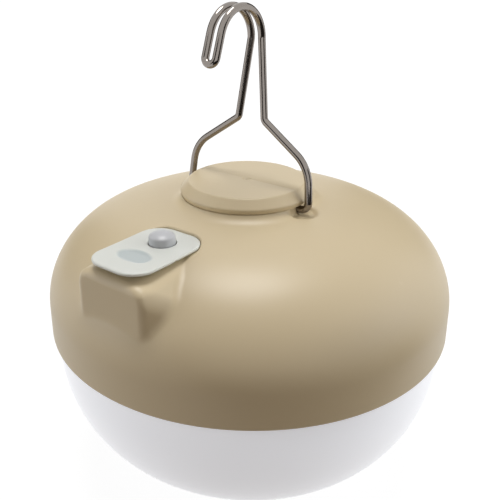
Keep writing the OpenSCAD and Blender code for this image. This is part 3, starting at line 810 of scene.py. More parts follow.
@dataclass(frozen=True)
class Finish:
    """A finish for one kind of surface, with its own values of the shared effects."""

    name: str
    colour: tuple
    roughness: float = 0.4
    worn: tuple = rgb(225, 216, 196)
    drift_scale: float = 25.0
    drift: float = 0.04
    grain_scale: float = 2400.0
    ripple: float = 0.1
    bump: float = 0.1
    bump_height: float = 0.00004
    wear: float = 0.25
    handling: float = 0.3
    dust: float = 0.06
    metallic: float = 0.0
    subsurface: float = 0.0
    coat: float = 0.0
    coat_roughness: float = 0.1
    # Strength of an emission in the base colour, which paints light into the surface.
    glow: float = 0.0
    specular: float = 0.5
    # Place and colour of the painted shade in the oval: middle Y, half length and half width in metres.
    oval: tuple = ()
    dip_shade: tuple = rgb(180, 189, 189)

    def material(self, effects: EffectGroups) -> bpy.types.Material:
        """Builds the material.

        Args:
            effects: The shared node groups.

        Returns:
            The material.
        """
        made, n = new_material(self.name)
        drift = n.group(effects.drift, Colour=self.colour, Scale=self.drift_scale, Amount=self.drift)
        base = drift["Colour"]
        # Painted shade over the thumb dip: a darker colour inside the oval.
        if self.oval:
            place = dict(zip(("Middle Y", "Half Length", "Half Width"), self.oval))
            base = n.group(effects.oval, Colour=base, Backed=self.dip_shade, **place)["Colour"]
        wear = n.group(effects.wear, Colour=base, Worn=self.worn, Amount=self.wear)
        dust = n.group(effects.dust, Colour=wear["Colour"], Amount=self.dust)
        grain = n.group(effects.grain, Scale=self.grain_scale, Ripple=self.ripple,
                        Roughness=self.roughness)
        marks = n.group(effects.handling, Roughness=grain["Roughness"], Height=grain["Height"],
                        Amount=self.handling)
        bump = n.add("ShaderNodeBump", {"Strength": self.bump, "Distance": self.bump_height,
                                        "Height": marks["Height"]})
        sockets = {
            "Base Color": dust["Colour"], "Roughness": marks["Roughness"],
            "Normal": bump.outputs[0], "Metallic": self.metallic, "Coat Weight": self.coat,
            "Coat Roughness": self.coat_roughness, "Specular IOR Level": self.specular,
            "Subsurface Weight": self.subsurface, "Subsurface Radius": (1.0, 1.0, 0.95),
            "Subsurface Scale": 0.002, "Emission Strength": self.glow,
        }
        # Painted light: the surface glows in its own colour.
        if self.glow:
            sockets["Emission Color"] = dust["Colour"]
        shader = n.add("ShaderNodeBsdfPrincipled", sockets)
        n.add("ShaderNodeOutputMaterial", {"Surface": shader.outputs[0]})
        return made


# ---- Sub-assemblies ----


@dataclass
class Shell:
    """The moulded shell: a dome with a spout, a neck for the top disc and a seat for the cover."""

    seam: float = 51.0
    radius: float = 66.0
    band: float = 10.4
    dome: float = 40.3
    side_n: float = 3.67
    top_n: float = 1.87
    wall: float = 2.4
    neck_r: float = 20.6
    neck_top: float = 93.4
    ring_r: float = 18.6
    ring_top: float = 95.4
    pocket_r: float = 13.0
    pocket_z: float = 92.65
    neck_sweep: float = 7.5
    neck_rise: float = 0.9
    neck_fillet: float = 4.4
    pivot_ease_y: float = 7.5
    pivot_ease_rise: float = 0.95
    pivot_ease_fillet: float = 0.6
    spout_half: float = 12.3
    spout_end: float = 62.4
    spout_top: float = 88.55
    spout_start: float = 36.0
    spout_slope: float = math.radians(4.0)
    spout_flat: float = 10.8
    spout_shoulder: float = math.radians(47.0)
    spout_flare: float = math.radians(34.0)
    spout_round: float = 2.6
    spout_corner: float = 1.4
    spout_wall: float = 2.2
    spout_floor: float = 74.0
    blend: float = 4.0
    seat_z: float = 88.55
    seat_half: float = 10.6
    seat_y: float = -31.5
    seat_round: float = 7.2
    seat_edge: float = 0.5
    seat_floor: float = 2.0
    seat_block: tuple = (-12.4, 12.4, -54.0, -29.7)
    seat_block_round: float = 9.0
    seat_block_end: float = -46.3
    snap_r: float = 64.1
    snap_in: float = 62.6
    snap_rise: float = 5.5
    snap_depth: float = 0.9
    pivot_z: float = 91.9
    bore_r: float = 1.25
    bore_middle: float = 18.3
    bore_half: float = 3.7
    dish_r: float = 4.5
    dish_z: float = 90.5
    dish_fillet: float = 2.2
    button_y: float = -40.6
    button_r: float = 4.25
    port_y: float = -51.1
    well: Point = (12.4, 6.8)
    well_z: float = 85.5
    socket: Point = (9.34, 3.6)
    board_z: float = 76.4
    plate_post: float = 52.0
    plate_post_turn: float = math.radians(15.0)
    plate_post_r: float = 3.2
    plate_hole_r: float = 1.27
    plate_z: float = 60.25
    board_post: Point = (7.8, -45.8)
    board_post_r: float = 1.9
    board_hole_r: float = 0.87
    board_hole_top: float = 82.4
    cap_post: float = 11.17
    cap_post_r: float = 2.15
    cap_screw_r: float = 1.3
    cap_screw_z: float = 87.9
    hole_edge: float = 0.18

    def dome_field(self, x: np.ndarray, y: np.ndarray, z: np.ndarray, inset: float = 0.0) -> np.ndarray:
        """Distance to the dome and the straight band below it.

        Args:
            x: X of each point.
            y: Y of each point.
            z: Z of each point.
            inset: Depth below the outside.

        Returns:
            Distance, negative inside.
        """
        radius, rise = self.radius - inset, self.dome - self.band - inset
        r = np.maximum(np.hypot(x, y), 1e-6) / radius
        t = np.maximum(z - self.seam - self.band, 0) / rise
        value = r**self.side_n + t**self.top_n - 1
        steep = np.hypot(self.side_n / radius * r ** (self.side_n - 1),
                         self.top_n / rise * t ** (self.top_n - 1))
        return value / np.maximum(steep, 0.02)

    def spout_top_field(self, y: np.ndarray, z: np.ndarray) -> np.ndarray:
        """Distance above the spout's sloping top."""
        drop = (-y - self.spout_start) * math.tan(self.spout_slope)
        return (z - self.spout_top + drop) * math.cos(self.spout_slope)

    def spout_field(self, x: np.ndarray, y: np.ndarray, z: np.ndarray) -> np.ndarray:
        """Distance to the spout's outside: its sides spread to the dome, its shoulders slope down.

        Args:
            x: X of each point.
            y: Y of each point.
            z: Z of each point.

        Returns:
            Distance, negative inside.
        """
        top = self.spout_top_field(y, z)
        lean, spread = self.spout_shoulder, self.spout_flare
        shoulder = (np.abs(x) - self.spout_flat) * math.sin(lean) + top * math.cos(lean)
        side = (np.abs(x) - self.spout_half) * math.cos(spread)
        side = side - (self.spout_end + y) * math.sin(spread)
        walls = round_both(side, -y - self.spout_end, self.spout_corner)
        return round_both(walls, round_both(top, shoulder, self.spout_round), self.spout_round)

    def spout_room(self, x: np.ndarray, y: np.ndarray, z: np.ndarray) -> np.ndarray:
        """Distance to the room inside the spout.

        Args:
            x: X of each point.
            y: Y of each point.
            z: Z of each point.

        Returns:
            Distance, negative inside.
        """
        wall = self.spout_wall
        walls = round_both(np.abs(x) - self.spout_half + wall, -y - self.spout_end + wall, 1.8)
        walls = round_both(walls, self.spout_top_field(y, z) + wall, 0.8)
        return round_both(np.maximum(walls, y - self.seat_y), self.spout_floor - z, 1.0)

    def outside(self, x: np.ndarray, y: np.ndarray, z: np.ndarray) -> np.ndarray:
        """Distance to the shell's outside, with its fillets.

        Args:
            x: X of each point.
            y: Y of each point.
            z: Z of each point.

        Returns:
            Distance, negative inside.
        """
        dome = self.dome_field(x, y, z)
        out = dome.copy()
        near = (y < -25) & (np.abs(x) < 34) & (z > self.seam + 8)
        if near.any():
            at = (x[near], y[near], z[near])
            spout = self.spout_field(*at)
            facing = (slope(self.dome_field, *at) * slope(self.spout_field, *at)).sum(-1)
            out[near] = fillet(dome[near], spout, self.blend, facing)
        r = np.hypot(x, y)
        by_pivot = np.exp(-((y / self.pivot_ease_y) ** 2))
        sweep = np.clip(1 - (r - self.neck_r - 0.3) / self.neck_sweep, 0, 1) ** 2
        rise = self.neck_rise * sweep * (1 - self.pivot_ease_rise * by_pivot)
        out = out - rise * (z > self.seam + self.band)
        neck = round_both(r - self.neck_r, z - self.neck_top, 0.25)
        out = fillet(out, neck, self.neck_fillet * (1 - self.pivot_ease_fillet * by_pivot))
        out = np.maximum(out, z - self.neck_top)
        return round_both(out, self.seam - z, 0.7)

    def field(self, x: np.ndarray, y: np.ndarray, z: np.ndarray) -> np.ndarray:
        """Distance to the whole shell.

        Args:
            x: X of each point.
            y: Y of each point.
            z: Z of each point.

        Returns:
            Distance, negative inside.
        """
        r = np.hypot(x, y)
        solid = np.minimum(self.outside(x, y, z), np.maximum(r - self.ring_r, z - self.ring_top))
        hollow = self.dome_field(x, y, z, self.wall)
        hollow = np.minimum(hollow, self.spout_room(x, y, z))
        solid = round_both(solid, -hollow, 0.3)
        groove = np.abs(z - self.seam - self.snap_rise) + r - self.radius + self.wall - self.snap_depth
        snap = np.maximum(r - self.snap_r, groove / 1.414)
        solid = np.maximum(solid, -np.maximum(snap, self.snap_in - r))
        inner = self.dome_field(x, y, z) + 0.5
        solid = np.minimum(solid, np.maximum(self._posts(x, y, z), inner))
        seat = plate_outline(x, y, self.seat_block, self.seat_block_round)
        seat = np.maximum(np.maximum(seat, self.seat_z - self.seat_floor - z),
                          np.maximum(inner, self.seat_block_end - y))
        solid = np.minimum(solid, seat)
        return self._cut_holes(solid, x, y, z)

    def _posts(self, x: np.ndarray, y: np.ndarray, z: np.ndarray) -> np.ndarray:
        """Distance to the posts for the plate and the board.

        Args:
            x: X of each point.
            y: Y of each point.
            z: Z of each point.

        Returns:
            Distance, negative inside.
        """
        turn = self.plate_post_turn
        d = np.hypot(np.abs(x) - self.plate_post * math.cos(turn),
                     np.abs(y) - self.plate_post * math.sin(turn))
        plate = np.maximum(np.maximum(d - self.plate_post_r, self.plate_z - z), self.plate_hole_r - d)
        b = np.hypot(np.abs(x) - self.board_post[0], y - self.board_post[1])
        hole = self.board_hole_r - b + np.maximum(z - self.board_hole_top, 0)
        board = np.maximum(np.maximum(b - self.board_post_r, self.board_z - z), hole)
        return np.minimum(plate, board)

    def _cut_holes(self, solid: np.ndarray, x: np.ndarray, y: np.ndarray, z: np.ndarray) -> np.ndarray:
        """Cuts the magnet's pocket, the screw holes, the pivots, the cover's seat and its holes.

        Args:
            solid: Distance to the uncut shell.
            x: X of each point.
            y: Y of each point.
            z: Z of each point.

        Returns:
            Distance to what is left, negative inside.
        """
        r = np.hypot(x, y)
        post = np.hypot(np.abs(x) - self.cap_post, np.abs(y) - self.cap_post)
        dish = np.hypot(np.abs(x) - self.neck_r, y) - self.dish_r
        dish = round_both(round_both(dish, self.neck_r - np.abs(x), 0.3), self.dish_z - z, 0.5)
        solid = -fillet(-solid, dish, self.dish_fillet)
        port = y - self.port_y
        bore = np.hypot(y, z - self.pivot_z) - self.bore_r
        button = np.hypot(x, y - self.button_y) - self.button_r
        seat_box = (-self.seat_half, self.seat_half, -90.0, self.seat_y)
        seat = plate_outline(x, y, seat_box, self.seat_round)
        cuts = [
            np.maximum(r - self.pocket_r, self.pocket_z - z),
            np.maximum(post - self.cap_post_r, self.seam + self.dome + 0.1 - z),
            np.maximum(post - self.cap_screw_r, self.cap_screw_z - z),
            np.maximum(bore, np.abs(np.abs(x) - self.bore_middle) - self.bore_half),
            np.maximum(button, self.board_z + 4.6 - z),
            round_both(stadium(x, port, *self.well), self.well_z - z, 0.3),
            np.maximum(stadium(x, port, *self.socket), self.board_z + 1 - z),
        ]
        solid = round_both(solid, -np.maximum(seat, self.seat_z - z), self.seat_edge)
        for cut in cuts:
            solid = round_both(solid, -cut, self.hole_edge)
        return solid

    def build(self) -> bpy.types.Object:
        """Meshes the shell on a polar grid that is fine round the spout and the pivots.

        Returns:
            The piece.
        """
        turn = (-122.0, 0.5, -58.0, 1.5, -14.0, 0.75, 14.0, 2.0, 166.0, 0.75, 194.0, 1.5, 238.0)
        angles = np.round(steps(*map(math.radians, turn)), 9)[:-1]
        mesher = FieldMesher(
            steps(0.0, 1.2, 12.4, 0.45, 26.0, 0.6, 33.0, 0.5, 64.0, 0.4, 67.2),
            angles,
            self.seam + steps(-0.6, 0.4, 2.2, 0.5, 8.0, 1.0, 32.0, 0.4, 45.2),
            polar=True,
        )
        verts, faces, normals = mesher.build(self.field)
        piece = add_piece("shell", "lamp", verts, faces, normals)
        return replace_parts(piece, "upper_shell")


@dataclass
class TopDisc:
    """The disc over the magnet, with a stepped crease across its top and down its chamfer."""

    under: float = 95.8
    skirt: float = 93.45
    top: float = 97.8
    inner_r: float = 18.8
    rim_r: float = 21.6
    flat_r: float = 18.9
    chamfer: float = 2.9
    crease: float = 0.5
    crease_tilt: float = 0.0245
    crease_run: float = 4.8
    dimple_r: float = 1.3
    dimple: float = 0.7
    post_at: float = 11.17
    post_r: float = 2.0
    post_hole_r: float = 1.12
    post_foot: float = 91.5
    post_hole_top: float = 95.0
    sides: int = 90

    def build(self) -> bpy.types.Object:
        """Turns the disc, then sinks the crease into its outside.

        Returns:
            The piece.
        """
        outline = eased(
            [(0, self.under), (self.inner_r, self.under), (self.inner_r, self.skirt),
             (self.rim_r - 0.4, self.skirt), (self.rim_r, self.top - self.chamfer),
             (self.flat_r, self.top), (0, self.top)],
            [0, 0.2, 0.15, 0.35, 0.8, 0.9, 0])
        sliver = 0.004
        half_turn = np.linspace(sliver, math.pi - sliver, self.sides)
        turn = [*half_turn, *np.linspace(math.pi + sliver, 2 * math.pi - sliver, self.sides)]
        verts, faces = turned(close_up(outline, 0.5), turn)
        outer = verts[:, 2] > self.skirt + 0.6
        r = np.hypot(verts[:, 0], verts[:, 1])
        outer &= (r > self.inner_r + 0.9) | (verts[:, 2] > self.under + 1)
        verts[outer, 2] -= self._sink(verts[outer])
        rows = [(verts, faces)]
        for x in (-1, 1):
            for y in (-1, 1):
                rows.append(self._post(x * self.post_at, y * self.post_at))
        every, joined = [], []
        for v, f in rows:
            base = sum(len(e) for e in every)
            every.append(v)
            joined += [tuple(i + base for i in face) for face in f]
        piece = add_piece("top_disc", "lamp", np.vstack(every), joined, sharp=32.0)
        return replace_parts(piece, "top_cap")

    def _sink(self, v: np.ndarray) -> np.ndarray:
        """Depth of the crease and the centre's dimple.

        Args:
            v: Points of the disc.

        Returns:
            The depth at each point.
        """
        depth = np.maximum(self.crease + self.crease_tilt * v[:, 0], 0.0)
        run = np.clip(v[:, 1] / self.crease_run, 0, 1)
        ramp = np.where(v[:, 1] > 0, (1 - run) ** 2, 0.0)
        r = np.hypot(v[:, 0], v[:, 1])
        high = np.clip((v[:, 2] - self.skirt) / (self.top - self.skirt), 0, 1)
        dimple = self.dimple * np.clip(1 - (r / self.dimple_r) ** 2, 0, 1)
        return depth * ramp * np.minimum(high * 1.4, 1) + dimple

    def _post(self, x: float, y: float) -> tuple[np.ndarray, list]:
        """One screw post under the disc, with its blind hole.

        Args:
            x: X of the post.
            y: Y of the post.

        Returns:
            Vertices and faces.
        """
        root = self.under + 0.02
        outline = [(0, self.post_hole_top), (self.post_hole_r, self.post_hole_top - 0.1),
                   (self.post_hole_r, self.post_foot), (self.post_r, self.post_foot),
                   (self.post_r, root), (0, root)]
        verts, faces = turned(outline, round_angles(20))
        return verts + np.array([x, y, 0.0]), faces


@dataclass
class HookWire:
    """The bent wire hook, which hangs in the pivots by its two ends."""

    wire_r: float = 1.2
    sides: int = 20
    leg_x: float = 23.4
    elbow_r: float = 2.4
    leg_lean: float = math.radians(5.5)
    shoulder_r: float = 12.0
    shoulder_h: float = 8.0
    shoulder_lean: float = math.radians(55.7)
    neck_x: float = 5.0
    neck_r: float = 2.0
    curl_x: float = 2.0
    curl_h: float = 49.6
    curl_r: float = 10.3
    curl_sweep: float = math.radians(166.0)
    tip_len: float = 7.0
    tilt: float = math.radians(5.8)
    pin_in: float = 15.2
    pin_out: float = 18.0
    pivot_z: float = 91.9
    curl_steps: int = 34

    @staticmethod
    def _arc(centre: Point, radius: float, start: float, end: float, count: int) -> list:
        """Points of an arc in the hook's own plane.

        Args:
            centre: X and height of the arc's centre.
            radius: Radius of the arc.
            start: Its first angle.
            end: Its last angle.
            count: Number of points.

        Returns:
            The points.
        """
        return [(centre[0] + radius * math.cos(a), 0.0, centre[1] + radius * math.sin(a))
                for a in np.linspace(start, end, count)]

    def half(self) -> np.ndarray:
        """Middle line of one half of the wire, from its end in the pivot to the hook's tip.

        Returns:
            The line's points.
        """
        leg = (self.leg_x - (self.shoulder_h - self.elbow_r) * math.tan(self.leg_lean), self.shoulder_h)
        lean, turn = self.leg_lean, self.shoulder_lean
        centre = (leg[0] - self.shoulder_r * math.cos(lean), leg[1] - self.shoulder_r * math.sin(lean))
        end = (centre[0] + self.shoulder_r * math.cos(turn), centre[1] + self.shoulder_r * math.sin(turn))
        neck_z = end[1] + (end[0] - self.neck_x) / math.tan(turn)
        stem = math.atan((self.neck_x - self.curl_x) / (self.curl_h - neck_z))
        back = self.neck_r * math.tan((turn - stem) / 2)
        bend = (self.neck_x + back * math.sin(turn), neck_z - back * math.cos(turn))
        neck = (bend[0] + self.neck_r * math.cos(turn), bend[1] + self.neck_r * math.sin(turn))
        points = [(self.pin_in, 0.0, 0.0), (self.pin_out, 0.0, 0.0)]
        points += self._arc((self.leg_x - self.elbow_r, self.elbow_r), self.elbow_r, -math.pi / 2, 0, 12)
        points += self._arc(centre, self.shoulder_r, lean, turn, 18)
        points += self._arc(neck, self.neck_r, math.pi + turn, math.pi + stem, 10)
        sweep = self.curl_sweep
        for a in np.linspace(sweep / self.curl_steps, sweep, self.curl_steps):
            points.append((self.curl_x, -self.curl_r * (1 - math.cos(a)),
                           self.curl_h + self.curl_r * math.sin(a)))
        tip = (self.curl_r * (1 - math.cos(sweep)) + self.tip_len * math.sin(sweep),
               self.curl_h + self.curl_r * math.sin(sweep) + self.tip_len * math.cos(sweep))
        for a in np.linspace(0, math.pi / 2, 10):
            over = self.curl_x * math.sin(a)
            points.append((self.curl_x * math.cos(a), -tip[0] - over * math.sin(sweep),
                           tip[1] + over * math.cos(sweep)))
        return np.array(points)

    def build(self) -> bpy.types.Object:
        """Sweeps the wire along both halves as one closed bar.

        Returns:
            The piece.
        """
        half = self.half()
        path = np.vstack([half, (half * [-1, 1, 1])[-2::-1]])
        c, s = math.cos(self.tilt), math.sin(self.tilt)
        path = path @ np.array([[1, 0, 0], [0, c, -s], [0, s, c]]) + [0, 0, self.pivot_z]
        verts, faces = swept(path, self.wire_r, self.sides)
        piece = add_piece("hook_wire", "hanger", verts, faces, sharp=50.0)
        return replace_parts(piece, "hook")


@dataclass
class SoftCover:
    """The one-piece soft cover: it is fixed round the button and bends up off the port."""

    half: float = 10.48
    inner_y: float = -31.62
    outer_y: float = -62.1
    corner: float = 7.0
    top: float = 89.6
    thick: float = 1.0
    button_y: float = -40.6
    button_r: float = 4.15
    flex_y: float = -46.3
    boss: Point = (10.4, 4.8)
    boss_h: float = 2.9
    port_y: float = -51.1
    curl: float = 0.35
    dip: float = 0.4
    thumb: Point = (12.4, 7.6)
    thumb_edge: float = 1.6
    groove: float = 0.35
    groove_half: float = 0.9

    def field(self, x: np.ndarray, y: np.ndarray, z: np.ndarray) -> np.ndarray:
        """Distance to the cover, whose free end has curled up a little.

        Args:
            x: X of each point.
            y: Y of each point.
            z: Z of each point.

        Returns:
            Distance, negative inside.
        """
        z = z - self.curl * np.clip((self.flex_y - y) / (self.flex_y - self.outer_y), 0, 1) ** 2
        outline = plate_outline(x, y, (-self.half, self.half, self.outer_y, self.inner_y), self.corner)
        sheet = round_both(outline, np.abs(z - self.top + self.thick / 2) - self.thick / 2, 0.42)
        under = self.top - self.thick
        boss = round_both(stadium(x, y - self.port_y, *self.boss),
                          np.maximum(z - under - 0.3, under - self.boss_h - z), 0.35)
        solid = fillet(sheet, boss, 0.5)
        hole = self.button_r - np.hypot(x, y - self.button_y)
        solid = round_both(solid, hole, 0.3)
        thumb = np.clip(-stadium(x, y - self.port_y + 0.8, *self.thumb) / self.thumb_edge, 0, 1)
        solid = np.maximum(solid, z - self.top + self.dip * thumb * thumb * (3 - 2 * thumb))
        off = y - self.flex_y
        groove = under + self.groove * np.clip(1 - (off / self.groove_half) ** 2, 0, 1)
        return np.maximum(solid, groove - z - 10 * (np.abs(off) > self.groove_half))

    def build(self) -> bpy.types.Object:
        """Meshes the cover as one piece in place of the frame's pad and flap.

        Returns:
            The piece.
        """
        mesher = FieldMesher(
            steps(-10.9, 0.25, 10.9), steps(-62.6, 0.25, -31.2),
            steps(self.top - self.thick - self.boss_h - 0.3, 0.2, self.top + 0.8))
        verts, faces, normals = mesher.build(self.field)
        piece = add_piece("soft_cover", "", verts, faces, normals)
        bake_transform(piece)
        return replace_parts(piece, "cover_pad", "port_flap")


@dataclass
class PushButton:
    """The button that stands through the soft cover."""

    y: float = -40.6
    radius: float = 3.9
    low: float = 88.0
    top: float = 93.0
    stem_r: float = 1.6
    stem_z: float = 83.1
    crown: float = 1.25
    crown_power: float = 2.4
    sides: int = 72

    def build(self) -> bpy.types.Object:
        """Turns the button with its crown and its stem.

        Returns:
            The piece.
        """
        rim = self.top - self.crown
        crown = [(self.radius * (1 - t), rim + self.crown * (1 - (1 - t) ** self.crown_power))
                 for t in np.linspace(0, 1, 14)]
        outline = eased([(0, self.stem_z), (self.stem_r, self.stem_z), (self.stem_r, self.low),
                         (self.radius, self.low), *crown], [0, 0.2, 0.2, 0.3, 0.75] + [0] * 14)
        verts, faces = turned(outline, round_angles(self.sides))
        verts = verts + [0, self.y, 0]
        piece = add_piece("push_button", "button", verts, faces, sharp=50.0)
        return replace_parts(piece, "power_button")


@dataclass
class Bowl:
    """The frosted bowl, with the rim that snaps into the shell and holds the seal ring."""

    seam: float = 51.0
    outer_r: float = 64.5
    wall: float = 2.0
    cut: float = 1.8
    n: float = 2.39
    rim_r: float = 63.4
    rim_in: float = 59.8
    spigot: float = 6.9
    seal_d: float = 2.1
    seal_out: float = 63.6
    bead: float = 0.5
    gap: float = 0.05
    sides: int = 180

    def curve(self, radius: float, depth: float, low: float, count: int) -> list[Point]:
        """Points of the bowl's curve from the seam down to a height.

        Args:
            radius: Radius at the seam.
            depth: Depth of the whole curve below the seam.
            low: Height of the last point.
            count: Number of points.

        Returns:
            Radius and height of each point.
        """
        end = math.asin(((self.seam - low) / depth) ** (self.n / 2))
        return [(radius * math.cos(t) ** (2 / self.n), self.seam - depth * math.sin(t) ** (2 / self.n))
                for t in np.linspace(0, end, count)]

    def build(self) -> bpy.types.Object:
        """Turns the bowl from one outline.

        Returns:
            The piece.
        """
        depth = self.seam + self.cut
        outside = self.curve(self.outer_r, depth, 0.0, 70)
        inside = self.curve(self.outer_r - self.wall, depth - self.wall, self.wall, 50)
        seam, groove = self.seam, self.seam + 2.4
        half, bead = self.seal_d / 2 + 0.1, self.seam + self.spigot - 1.4
        groove_in = self.seal_out - 0.2 - self.seal_d
        rim = [(self.rim_r, seam - self.gap), (self.rim_r, groove - half), (groove_in, groove - half),
               (groove_in, groove + half), (self.rim_r, groove + half), (self.rim_r, bead - 0.8),
               (self.rim_r + self.bead, bead - 0.3), (self.rim_r + self.bead, bead + 0.3),
               (self.rim_r, bead + 0.8), (self.rim_r, seam + self.spigot),
               (self.rim_in, seam + self.spigot), (self.rim_in, inside[1][1])]
        foot = outside[-1]
        base = eased([outside[-2], foot, (0.0, 0.0)], [0, 1.2, 0], 6)[1:]
        outline = [(0.0, 0.0), *base[-2::-1], *outside[-2:0:-1], (self.outer_r, seam - self.gap - 0.25),
                   (self.outer_r - 0.25, seam - self.gap), *rim, *inside[1:], (0.0, self.wall)]
        verts, faces = turned(outline, round_angles(self.sides))
        piece = add_piece("frosted_bowl", "lamp", verts, faces, sharp=40.0)
        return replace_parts(piece, "diffuser")


# ---- Finishes ----

SHELL_FINISH = Finish("satin_beige_plastic", rgb(201, 185, 152), roughness=0.39, drift=0.02,
                      drift_scale=18.0, bump=0.12, wear=0.12, handling=0.18, dust=0.03,
                      worn=rgb(220, 208, 184))
WIRE_FINISH = Finish("polished_steel_wire", rgb(146, 139, 133), roughness=0.11, metallic=1.0, drift=0.05,
                     grain_scale=5200.0, bump=0.05, wear=0.0, handling=0.5, dust=0.0)
# The cover's oval is painted shade over its thumb dip.
COVER_FINISH = Finish("milky_silicone", rgb(209, 212, 206), roughness=0.34, subsurface=0.35, drift=0.02,
                      grain_scale=3200.0, bump=0.06, wear=0.0, handling=0.15, dust=0.06,
                      oval=(-0.0519, 0.0058, 0.0037))
BUTTON_FINISH = replace(COVER_FINISH, name="milky_silicone_button", colour=rgb(184, 186, 189), oval=())
# The bowl's emission is a painted glow, standing in for light that passes through the frosted bowl.
BOWL_FINISH = Finish("frosted_diffuser", rgb(223, 226, 232), roughness=0.34, drift=0.012,
                     grain_scale=3600.0, bump=0.05, wear=0.0, handling=0.12, dust=0.02, glow=0.42,
                     coat=0.15)
NODE_FINISHES: dict[tuple[str, ...], Finish] = {
    ("top_magnet",): Finish("nickel_plated_magnet", rgb(178, 178, 182), roughness=0.25, metallic=1.0,
                            worn=rgb(215, 215, 215), grain_scale=4000.0, wear=0.5),
    ("cap_screws", "board_screws", "plate_screws", "led_board_screws", "strap_screws"):
        Finish("zinc_plated_screw", rgb(160, 160, 162), roughness=0.32, metallic=1.0,
               worn=rgb(210, 210, 208), grain_scale=6000.0, wear=0.6),
    ("tact_switch", "socket_tongue", "board_parts"):
        Finish("black_resin", rgb(38, 38, 41), roughness=0.5, worn=rgb(85, 85, 88), grain_scale=6500.0,
               drift=0.1, wear=0.3),
    ("switch_plunger",): Finish("amber_plunger", rgb(190, 165, 115), roughness=0.45, grain_scale=6000.0),
    ("charge_board",): Finish("green_solder_mask", rgb(30, 86, 56), roughness=0.3, coat=0.6, drift=0.12,
                              drift_scale=160.0, worn=rgb(120, 150, 110), grain_scale=3000.0),
    ("charge_socket",): Finish("drawn_steel_socket", rgb(186, 187, 190), roughness=0.28, metallic=1.0,
                               worn=rgb(225, 225, 225), grain_scale=5200.0, wear=0.5),
    ("reflector_plate",): Finish("white_reflector", rgb(236, 236, 233), roughness=0.5,
                                 worn=rgb(245, 245, 245), drift=0.02),
    ("led_board",): Finish("white_lamp_board", rgb(230, 232, 233), roughness=0.35, coat=0.4, drift=0.03),
    ("led_chips",): Finish("phosphor_lamp", rgb(246, 214, 110), roughness=0.4, coat=0.7, drift=0.08,
                           drift_scale=500.0),
    ("battery_cradle", "battery_strap"):
        Finish("black_moulded_plastic", rgb(52, 52, 55), roughness=0.55, worn=rgb(95, 95, 98), bump=0.2),
    ("battery_cell_front", "battery_cell_back"):
        Finish("blue_cell_sleeve", rgb(52, 108, 168), roughness=0.32, coat=0.3, worn=rgb(150, 180, 205),
               drift=0.06, handling=0.5),
    ("nickel_strips",): Finish("nickel_strip", rgb(188, 190, 192), roughness=0.3, metallic=1.0,
                               worn=rgb(220, 220, 220), drift=0.08, handling=0.8),
    ("battery_leads",): Finish("red_lead_sleeve", rgb(166, 28, 28), roughness=0.45, worn=rgb(200, 90, 85)),
    ("led_leads",): Finish("white_lead_sleeve", rgb(206, 206, 200), roughness=0.45),
    ("seal_ring",): Finish("black_seal_rubber", rgb(34, 34, 34), roughness=0.7, worn=rgb(60, 60, 60),
                           bump=0.25, dust=0.15),
}


# ---- Studio ----


